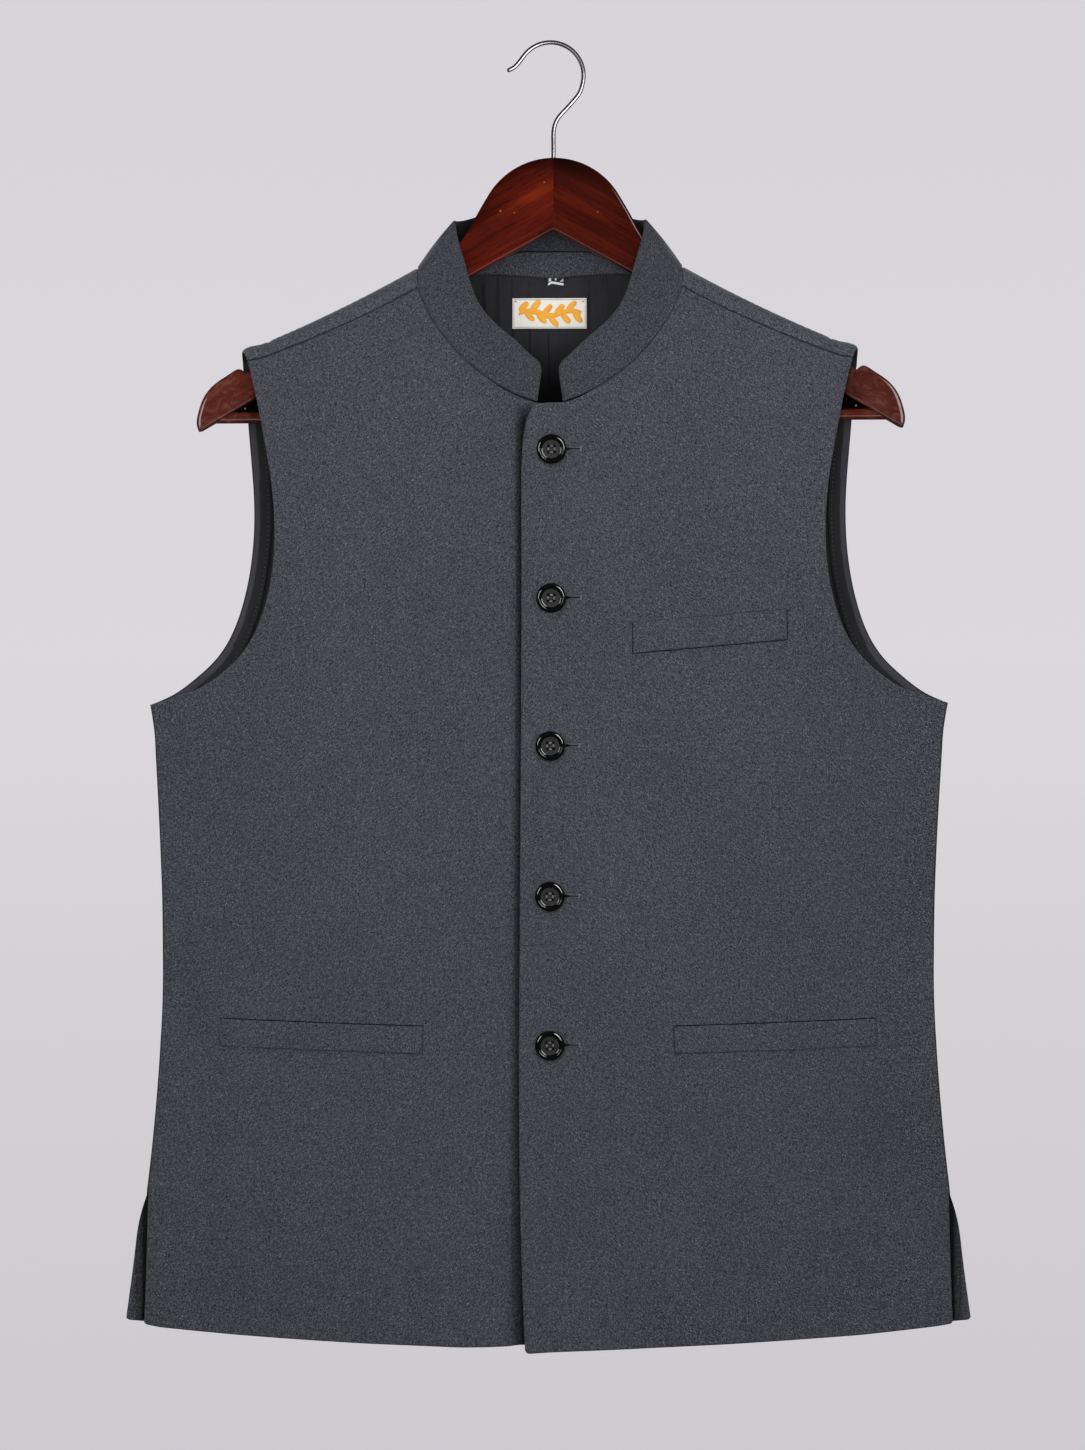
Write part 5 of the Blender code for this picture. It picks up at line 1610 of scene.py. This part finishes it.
def neck_stitches():
    """Hand stitches along the facing's lower edge, threads in its seam, and near-black cords beside the
    pleats as painted shade.
    """
    bits = Bits()
    form = back_form
    face = FACING_AT + FACING
    for number, x in enumerate(np.linspace(-HEMMING_END_R, HEMMING_END_R, 61)[:-1]):
        z = facing_edge_z(x) + 0.9 + 0.2 * math.sin(5.0 * number)
        bits.stitch(form, back_spot(x, z), back_spot(x + 0.9, z - 1.2), face + 0.1, 0.36, 0.25, 0)
        bits.stitch(form, back_spot(x + 1.1, z + 0.1), back_spot(x + 1.4, z - 0.8), face + 0.05, 0.2, 0.2, 1)
    x = np.linspace(-NECK_SEAM_END_R, NECK_SEAM_END_R, 200)
    h = -unroll(x, ring_z(x) + 0.25 + 0.12 * np.sin(x / 3.1))
    for drop in (0.0, 0.3):
        bits.along(form, x, h - drop, face + 0.05, 0.24, 2)
    for number in range(40):
        x = -50.0 + 2.6 * number + 0.5 * math.sin(2.7 * number)
        z = ring_z(x)
        bits.stitch(form, back_spot(x, z + 0.2), back_spot(x + 0.15, z - 1.5), face + 0.05, 0.2, 0.2, 0)
    # Painted shade: a near-black cord beside the sharp side of each pleat near the neck.
    for at, _, _, start, _ in PLEATS[:PLEATS_AT_NECK]:
        z = np.linspace(min(start, facing_edge_z(at)) - 2.5, PLEAT_SHADE_FOOT_Z, 60)
        r = at + PLEAT_DRIFT * (start - z) - 0.55 + 0.12 * np.sin(z / 5.0 + at)
        point, normals = lining_point(r, -unroll(r, z))
        bits.thread(hang(point + normals * LINING), 0.32 * MM, 2)
    return bits.piece("neck_stitches", DARK_THREAD, GREY_THREAD, OPENING_AND_SHADE_LOOK)


def stitches_along(bits, line, side, start, end, depth, radius, rise):
    """A stitch in every second gap of a line on the back, from one share of the gap to another."""
    for a, b in zip(line[:-1:2], line[1::2]):
        first, last = a + (b - a) * start, a + (b - a) * end
        ends = (side * first[0], first[1]), (side * last[0], last[1])
        bits.stitch(back_form, *ends, depth, radius, rise)


def armhole_stitches(name, side):
    """Hand stitches along an armhole facing, and the thread that fills the shoulder seam."""
    bits = Bits()
    line, _ = armhole_band(ARM_STITCHES_AT, ARM_STITCHES_AT, 400)
    line = unrolled_back(evenly(line, int(run_of(line)[-1] / ARM_STITCH_PITCH) * 2 + 1))
    stitches_along(bits, line, side, 0.15, 0.75, 3.32, 0.2, 0.15)
    r = np.linspace(92.0, FRONT_ARMHOLE[-1][0] - 1.2, 160)
    for depth in (0.8, 1.1):
        bits.along(back_form, side * r, seam_h(r), depth, 0.5, 1)
    return bits.piece(name, GREY_THREAD, DARK_THREAD)


def side_seam_line(side):
    """Midway between the inner faces of a front and the back, just inside their edges."""
    form = left_front if side > 0 else right_front
    seam = cubic_through(SIDE_SEAM, 120)[1:]
    r = seam[:, 0] - SIDE_THREAD_AT
    h = unroll(r, seam[:, 1])
    ahead = form(r, h) + inward(form, r, h) * CLOTH
    behind = back_form(side * r, -h) + inward(back_form, side * r, -h) * CLOTH
    return 0.5 * (hang(ahead, side) + hang(behind))


def vent_stitches(name, side):
    """Stitching beside a vent edge of the back, near-black cords in the vent as painted shade, and a dark
    thread in the side seam.
    """
    bits = Bits()
    line = cubic_through(BACK_VENT[::-1], 200) - np.array((VENT_STITCHES_AT, 0.0))
    line = unrolled_back(evenly(line[6:], 57))
    for depth in (CLOTH + 0.02, -0.02):
        stitches_along(bits, line, side, 0.0, 0.9, depth, 0.17, 0.12)
    # Painted shade: near-black cords in the gap just beyond the front's vent edge.
    for out in (0.7, 1.6):
        r, z = (cubic_through(FRONT_VENT, 60) + np.array((out, 0.0))).T
        beyond = r < side_r(z, BACK_VENT) - 0.8
        r, z = r[beyond][:-1], z[beyond][:-1]
        bits.along(back_form, side * r, -unroll(r, z), CLOTH + 0.2, 0.6, 1)
    bits.thread(side_seam_line(side), SIDE_THREAD_RADIUS * MM, 0)
    return bits.piece(name, DARK_THREAD, OPENING_AND_SHADE_LOOK)


# ------------------------------------------------------------------ hanger

HANGER_X = 2.0
DOME_RADIUS = 51.1
DOME_TOP_Z = -76.9
DOME_ANGLE = 58.0
ARM_REACH = 238.25
LEFT_REACH = 236.5
RIGHT_REACH = 240.0
ARM_HALF = 6.5
ARM_EDGE = 2.3
ARM_SWELL = 0.63
ARM_TOP_END = (203.0, -218.8)
ARM_UNDER_Z = -125.7
ARM_UNDER_SLOPE = 0.548
ARM_UNDER_CURL = 0.000085
REBATE = ((214.5, -244.0), (176.0, -223.0), (176.0, -246.8), (213.5, -246.8))
REBATE_Y = (-2.8, 4.0)
GRAIN_TILT = 29.0
BAR_RADIUS = 4.0
BAR_Z = -250.2
BAR_END_R = 226.0
BRADS = ((-205.3, -245.5), (205.5, -243.5))
ARM_TIP = (
    (205.6, -220.6), (209.4, -217.9), (216.0, -220.8), (225.4, -227.1), (233.2, -236.0),
    (237.2, -246.5), (238.2, -255.8), (237.0, -259.6),
)
ARM_NECK = ((51.6, -115.0), (61.0, -131.0), (73.0, -143.3), (90.0, -153.6))
HOOK_RADIUS = 22.35
HOOK_ARC_START, HOOK_ARC_END = 148.0, -20.0
STEM_TOP_Z, STEM_FOOT_Z = -66.0, -100.0
WIRE_RADIUS = 1.45
HOOK_NECK = ((21.0, -28.6), (16.0, -37.4), (9.9, -44.2), (4.9, -49.8), (2.4, -56.0))
HOOK_NOSE = ((-28.0, -17.3), (-24.2, -15.4), (-21.9, -12.9))


def hanger_place(r, z, side, reach, y=0.0):
    stretch = 1.0 + (reach / ARM_REACH - 1.0) * float(fade(r, DOME_RADIUS, DOME_RADIUS + 60.0))
    x = side * r * stretch + HANGER_X
    return Vector((x, y, z + LEAN_TILT * x)) * MM


def arm_outline(side):
    centre_z = DOME_TOP_Z - DOME_RADIUS
    angles = np.radians(np.linspace(0.0, DOME_ANGLE, 26))
    dome = [(DOME_RADIUS * math.sin(a), centre_z + DOME_RADIUS * math.cos(a)) for a in angles]
    seat = -side * (HANGER_X - BODY_X - LEAN_X) * CREST_SLOPE
    neck = cubic_through([dome[-1], *ARM_NECK[:-1], (ARM_NECK[-1][0], ARM_NECK[-1][1] + seat)], 22)
    top = evenly((neck[-1], ARM_TOP_END), 14)
    r = np.linspace(234.6, 0.0, 30)
    under = np.column_stack((r, ARM_UNDER_Z - ARM_UNDER_SLOPE * r - ARM_UNDER_CURL * r * r))
    return np.vstack((dome, neck[1:], top[1:], cubic_through(ARM_TIP, 44), under))


def inset_rings(outline, distances):
    """The outline moved inwards to each distance in turn, its points sliding together in sharp corners."""
    close_enough, probe, longest_step = 0.004, 0.06, 0.12
    start, end = outline[:-1], outline[1:]
    span = end - start
    length = (span**2).sum(axis=1)

    def distance(points):
        share = ((points[:, None] - start[None]) * span[None]).sum(axis=2) / length
        nearest = start[None] + np.clip(share, 0.0, 1.0)[..., None] * span[None]
        return np.sqrt(((points[:, None] - nearest) ** 2).sum(axis=2)).min(axis=1)

    points = inset(outline, -0.05)
    points[0, 0] = points[-1, 0] = 0.0
    rings = []
    for wanted in distances:
        for _ in range(60):
            gap = wanted - distance(points)
            moving = gap > close_enough
            if not moving.any():
                break
            slope = np.zeros_like(points)
            for axis in (0, 1):
                step = np.zeros(2)
                step[axis] = probe
                slope[:, axis] = distance(points + step) - distance(points - step)
            slope /= np.linalg.norm(slope, axis=1)[:, None] + 1e-9
            points = points + slope * np.clip(gap, 0.0, longest_step)[:, None] * moving[:, None]
            points[0, 0] = points[-1, 0] = 0.0
        rings.append(points.copy())
    return rings


def arm_profile():
    """Distance inside the outline and height of the face, from the long edge to the flat."""
    angles = np.radians(np.linspace(0.0, 76.0, 8))
    start = ARM_HALF - 0.562 - ARM_EDGE
    profile = [(ARM_EDGE * (1.0 - math.cos(a)), start + ARM_EDGE * math.sin(a)) for a in angles]
    flat = (2.4, 3.2, 4.2, 5.4, 6.8)
    return profile + [(d, ARM_HALF - ARM_SWELL * ((flat[-1] - d) / 5.056) ** 2) for d in flat]


def make_arm(name, side, reach, look):
    """Half the hanger, its long edges rounded and its end at the mitre cut flat."""
    outline = arm_outline(side)
    profile = arm_profile()
    rings = [outline] + inset_rings(outline, [d for d, _ in profile[1:]])
    heights = [y for _, y in profile]
    bm = bmesh.new()
    made = []
    for ring, y in [*zip(rings[::-1], [-y for y in heights[::-1]]), *zip(rings, heights)]:
        places = [hanger_place(max(float(r), 0.0), float(z), side, reach, y) for r, z in ring]
        made.append([bm.verts.new(place) for place in places])
    for low, high in zip(made, made[1:]):
        for i in range(len(low) - 1):
            bm.faces.new((low[i], low[i + 1], high[i + 1], high[i]))
    bm.faces.new(made[0][::-1])
    bm.faces.new(made[-1])
    bm.faces.new([row[0] for row in made] + [row[-1] for row in made[::-1]])
    # A block in the joint of the bar, near black with painted shade.
    front, rear = ([bm.verts.new(hanger_place(r, z, side, reach, y)) for r, z in REBATE] for y in REBATE_Y)
    joint = [bm.faces.new(front), bm.faces.new(rear[::-1])]
    for i in range(4):
        j = (i + 1) % 4
        joint.append(bm.faces.new((front[i], front[j], rear[j], rear[i])))
    for face in joint:
        face.material_index = 1
    bmesh.ops.remove_doubles(bm, verts=bm.verts[:], dist=1e-5)
    bmesh.ops.recalc_face_normals(bm, faces=bm.faces[:])
    mesh = mesh_of(bm, name, look, SOCKET_LOOK)
    mesh.validate()
    mesh.shade_smooth()
    mesh.set_sharp_from_angle(angle=math.radians(48.0))
    return in_scene(name, mesh)


def rod(name, path, radius, segments, look):
    bits = Bits()
    bits.thread(path, radius * MM, 0, segments)
    return bits.piece(name, look)


def make_hanger():
    tilt = math.radians(GRAIN_TILT)
    left_look = wood_look("wood_left", -tilt, (0.3, 0.1, 0.2), 0.48, ((31.7, -113.7, 0.55),))
    right_flecks = ((-33.7, -113.0, 0.6), (-24.3, -114.3, 0.4), (-4.3, -93.7, 0.45))
    right_look = wood_look("wood_right", tilt, (0.9, 0.4, 0.7), 0.92, right_flecks)
    bar_look = wood_look("wood_bar", 0.0, (0.5, 0.2, 0.35))
    left = make_arm("arm_left_wood", 1, LEFT_REACH, left_look)
    right = make_arm("arm_right_wood", -1, RIGHT_REACH, right_look)
    ends = []
    for side, reach in ((-1, RIGHT_REACH), (1, LEFT_REACH)):
        x = side * (BAR_END_R + reach - ARM_REACH) + HANGER_X
        ends.append((x, 0.0, BAR_Z + LEAN_TILT * x))
    bar = rod("bar_wood", evenly(ends, 60) * MM, BAR_RADIUS, 40, bar_look)
    bits = Bits()
    for x, z in BRADS:
        bits.thread(np.array(((x, -3.4, z), (x, -2.0, z))) * MM, 0.8 * MM, 0, 14)
    return left, right, bar, bits.piece("brads", BRAD_LOOK)


def make_hook():
    centre_z = WIRE_RADIUS - HOOK_RADIUS
    angles = np.radians(np.linspace(HOOK_ARC_START, HOOK_ARC_END, 90))
    arc = np.column_stack((HOOK_RADIUS * np.cos(angles), centre_z + HOOK_RADIUS * np.sin(angles)))
    nose = cubic_through([*HOOK_NOSE, *arc[:2]], 22)[:-1]
    neck = cubic_through([arc[-1], *HOOK_NECK, (HANGER_X, STEM_TOP_Z)], 50)
    stem = evenly(((HANGER_X, STEM_TOP_Z), (HANGER_X, STEM_FOOT_Z)), 14)
    route = evenly(np.vstack((nose, arc[1:], neck[1:], stem[1:])), 220)
    for _ in range(14):
        route[1:-1] = 0.25 * route[:-2] + 0.5 * route[1:-1] + 0.25 * route[2:]
    path = np.column_stack((route[:, 0], np.zeros(len(route)), route[:, 1])) * MM
    return rod("hook_wire", path, WIRE_RADIUS, 28, CHROME_LOOK)


# ------------------------------------------------------------------ build

left = make_front("front_left_cloth", 1, left_front, LEFT_FRONT_EDGE, LEFT_NECK_END, LEFT_HEM)
right = make_front("front_right_cloth", -1, right_front, RIGHT_FRONT_EDGE, RIGHT_NECK_END, RIGHT_HEM)
back = make_back()
collar = make_collar()
neck_facing = make_neck_facing()
lining = make_lining()
facings = [make_armhole_facing("armhole_band_left", 1), make_armhole_facing("armhole_band_right", -1)]
chest = make_welt("welt_chest_cloth", 1, left_front, CHEST_WELT)
hip_left = make_welt("welt_hip_left_cloth", 1, left_front, HIP_WELT)
hip_right = make_welt("welt_hip_right_cloth", -1, right_front, HIP_WELT)
mouths = make_mouths()
label, label_threads = make_label()
tab, tab_marks = make_size_tab()
buttons = make_buttons()
buttonholes = make_buttonholes()
neck_threads = neck_stitches()
arm_threads = [armhole_stitches("armhole_stitches_left", 1), armhole_stitches("armhole_stitches_right", -1)]
vents = [vent_stitches("vent_stitches_left", 1), vent_stitches("vent_stitches_right", -1)]
wood = arm_left, arm_right, bar, brads = make_hanger()
hook = make_hook()
for piece, nodes, slot in (
    (left, ["front_left"], "shell_cloth"),
    (right, ["front_right"], "shell_cloth"),
    (back, ["back"], "shell_cloth"),
    (collar, ["collar"], "shell_cloth"),
    (neck_facing, ["back_neck_facing"], "shell_cloth"),
    (lining, ["back_lining"], "lining"),
    (facings[0], ["armhole_facing_left"], "lining"),
    (facings[1], ["armhole_facing_right"], "lining"),
    (mouths, ["front_left", "front_right"], "shell_cloth"),
    (chest, ["welt_chest"], "shell_cloth"),
    (hip_left, ["welt_hip_left"], "shell_cloth"),
    (hip_right, ["welt_hip_right"], "shell_cloth"),
    (label, ["label_main"], "label"),
    (label_threads, ["label_main"], "label"),
    (tab, ["label_size"], "size_tab"),
    (tab_marks, ["label_size"], "size_tab"),
    (buttonholes, ["front_left"], "shell_cloth"),
    (neck_threads, ["back_neck_facing"], "shell_cloth"),
    (arm_threads[0], ["armhole_facing_left"], "lining"),
    (arm_threads[1], ["armhole_facing_right"], "lining"),
    (vents[0], ["back"], "shell_cloth"),
    (vents[1], ["back"], "shell_cloth"),
    (arm_left, ["hanger_arm_left"], "wood"),
    (arm_right, ["hanger_arm_right"], "wood"),
    (bar, ["trouser_bar"], "wood"),
    (brads, ["hanger_arm_left", "hanger_arm_right"], "chrome"),
    (hook, ["hook"], "chrome"),
    *[(thing, [thing.name.rsplit("_", 1)[0]], "button") for thing in buttons],
):
    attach(piece, "root")
    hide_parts(*nodes)


# ------------------------------------------------------------------ stage, light and camera

FLOOR_Z = -1.7
FLOOR_RADIUS = 3.2
CURVE_RADIUS = 4.6
WALL_TOP_Z = 7.0
# The backdrop glows with painted light rather than being lit: darkest at the floor, brightest about 1.4 m
# above it.
PAPER = Look("paper", (0.0, 0.0, 0.0), 1.0, Specular_IOR_Level=0.0, Emission_Strength=1.0)
rising = {"Value": PAPER.axis("Z"), "From Min": FLOOR_Z, "From Max": FLOOR_Z + 5.0}
PAPER.finish(
    Emission_Color=PAPER.ramp(
        PAPER.node("ShaderNodeMapRange", rising).outputs["Result"],
        (0.0, srgb(205, 202, 208)),
        (0.10, srgb(210, 207, 213)),
        (0.28, srgb(219, 216, 222)),
        (0.55, srgb(215, 212, 218)),
    )
)


def make_backdrop():
    """A pale floor that curves up into a wall all round."""
    profile = [(radius, FLOOR_Z) for radius in (0.0, 1.0, 2.2, FLOOR_RADIUS)]
    for a in np.linspace(0.0, math.pi / 2.0, 24)[1:]:
        rise = CURVE_RADIUS * (1.0 - math.cos(a))
        profile.append((FLOOR_RADIUS + CURVE_RADIUS * math.sin(a), FLOOR_Z + rise))
    profile.append((FLOOR_RADIUS + CURVE_RADIUS, WALL_TOP_Z))
    mesh = mesh_of(turned(profile, 96), "backdrop", PAPER.material)
    mesh.shade_smooth()
    backdrop = in_scene("backdrop", mesh)
    backdrop.visible_diffuse = False
    backdrop.visible_glossy = False
    backdrop.visible_shadow = False


def area_light(name, place, target, size, radiance, only=None):
    """A softbox of a given radiance, in watts per square metre and steradian.

    It lights everything softly, or puts highlights on the given pieces only.
    """
    data = bpy.data.lights.new(name, "AREA")
    data.shape = "RECTANGLE"
    data.size, data.size_y = size
    data.energy = radiance * math.pi * size[0] * size[1]
    lamp = in_scene(name, data)
    lamp.location = place
    lamp.rotation_euler = (Vector(target) - Vector(place)).to_track_quat("-Z", "Y").to_euler()
    lamp.visible_camera = False
    lamp.visible_diffuse = only is None
    lamp.visible_glossy = only is not None
    if only is not None:
        lit = bpy.data.collections.new(name + "_lights")
        for thing in only:
            lit.objects.link(thing)
        lamp.light_linking.receiver_collection = lit


MIDDLE = (0.0, 0.0, -0.35)
CROWN = (0.0, 0.0, -0.05)
# Place, what it points at, width and height, radiance
LAMPS = (
    ("softbox", None, (
        ("key", (0.0, -1.25, -0.24), (0.0, 0.0, -0.28), (0.8, 0.7), 5.9),
        ("left", (-1.35, -1.75, -0.15), MIDDLE, (0.90, 1.3), 4.2),
        ("right", (1.40, -1.70, -0.10), MIDDLE, (0.90, 1.3), 3.9),
        ("above", (0.0, -0.9, 1.1), (0.0, 0.0, -0.2), (1.4, 0.8), 3.4),
        ("low", (0.0, -1.6, -1.15), (0.0, 0.0, -0.75), (1.3, 0.5), 1.5),
        ("rear_left", (1.6, 1.5, 0.1), MIDDLE, (1.4, 1.6), 5.2),
        ("rear_right", (-1.6, 1.6, 0.1), MIDDLE, (1.4, 1.6), 5.4),
    )),
    ("buttons", buttons, (
        ("left", (-1.35, -1.65, 0.10), MIDDLE, (0.5, 0.95), 13.0),
        ("right", (1.10, -1.60, 0.50), MIDDLE, (0.7, 1.5), 15.0),
        ("fill", (0.2, -2.4, 0.2), MIDDLE, (1.6, 1.0), 0.15),
    )),
    ("wood", wood, (
        ("left", (-1.40, -1.75, -0.25), MIDDLE, (0.50, 1.3), 6.0),
        ("right", (1.45, -1.70, 0.05), MIDDLE, (0.75, 1.9), 6.0),
        ("low", (0.0, -1.5, -1.65), (0.0, 0.0, -0.3), (3.2, 0.8), 1.7),
    )),
    ("hook", [hook], (
        ("fill", (0.2, -2.3, -0.4), CROWN, (2.8, 2.0), 0.34),
        ("right", (2.1, -0.7, -0.5), CROWN, (2.4, 2.4), 0.28),
        ("left", (-1.9, -0.9, -0.9), CROWN, (1.8, 1.8), 0.28),
        ("key", (0.85, -1.8, -0.5), CROWN, (1.1, 1.5), 6.0),
    )),
)

make_backdrop()
for group, only, lamps in LAMPS:
    for word, *settings in lamps:
        area_light(f"{group}_{word}", *settings, only)

world = bpy.data.worlds.new("studio")
bpy.context.scene.world = world
world.use_nodes = True
tree = world.node_tree
choice = tree.nodes.new("ShaderNodeMixShader")
rays = tree.nodes.new("ShaderNodeLightPath")
tree.links.new(rays.outputs["Is Glossy Ray"], choice.inputs[0])
for number, strength in ((1, 0.24), (2, 0.03)):
    sky = tree.nodes.new("ShaderNodeBackground")
    sky.inputs["Color"].default_value = (1.0, 0.995, 1.01, 1.0)
    sky.inputs["Strength"].default_value = strength
    tree.links.new(sky.outputs[0], choice.inputs[number])
tree.links.new(choice.outputs[0], tree.nodes["World Output"].inputs["Surface"])

# The frame is 1450 pixels tall, and a millimetre at the camera's range is 1.5 of them
CAMERA_PLACE = (-0.0054, -2.628, -0.4586)
CAMERA_RANGE = 2.6
FRAME_HEIGHT = 1450.0 / 1.5 * MM
SENSOR = 36.0
camera_data = bpy.data.cameras.new("camera")
camera = in_scene("camera", camera_data)
bpy.context.scene.camera = camera
camera.location = CAMERA_PLACE
camera.rotation_euler = (math.pi / 2.0, 0.0, 0.0)
camera_data.sensor_width = SENSOR
camera_data.lens = SENSOR * CAMERA_RANGE / FRAME_HEIGHT
camera_data.clip_start = 0.05
camera_data.clip_end = 60.0
bpy.context.scene.view_settings.view_transform = "Standard"
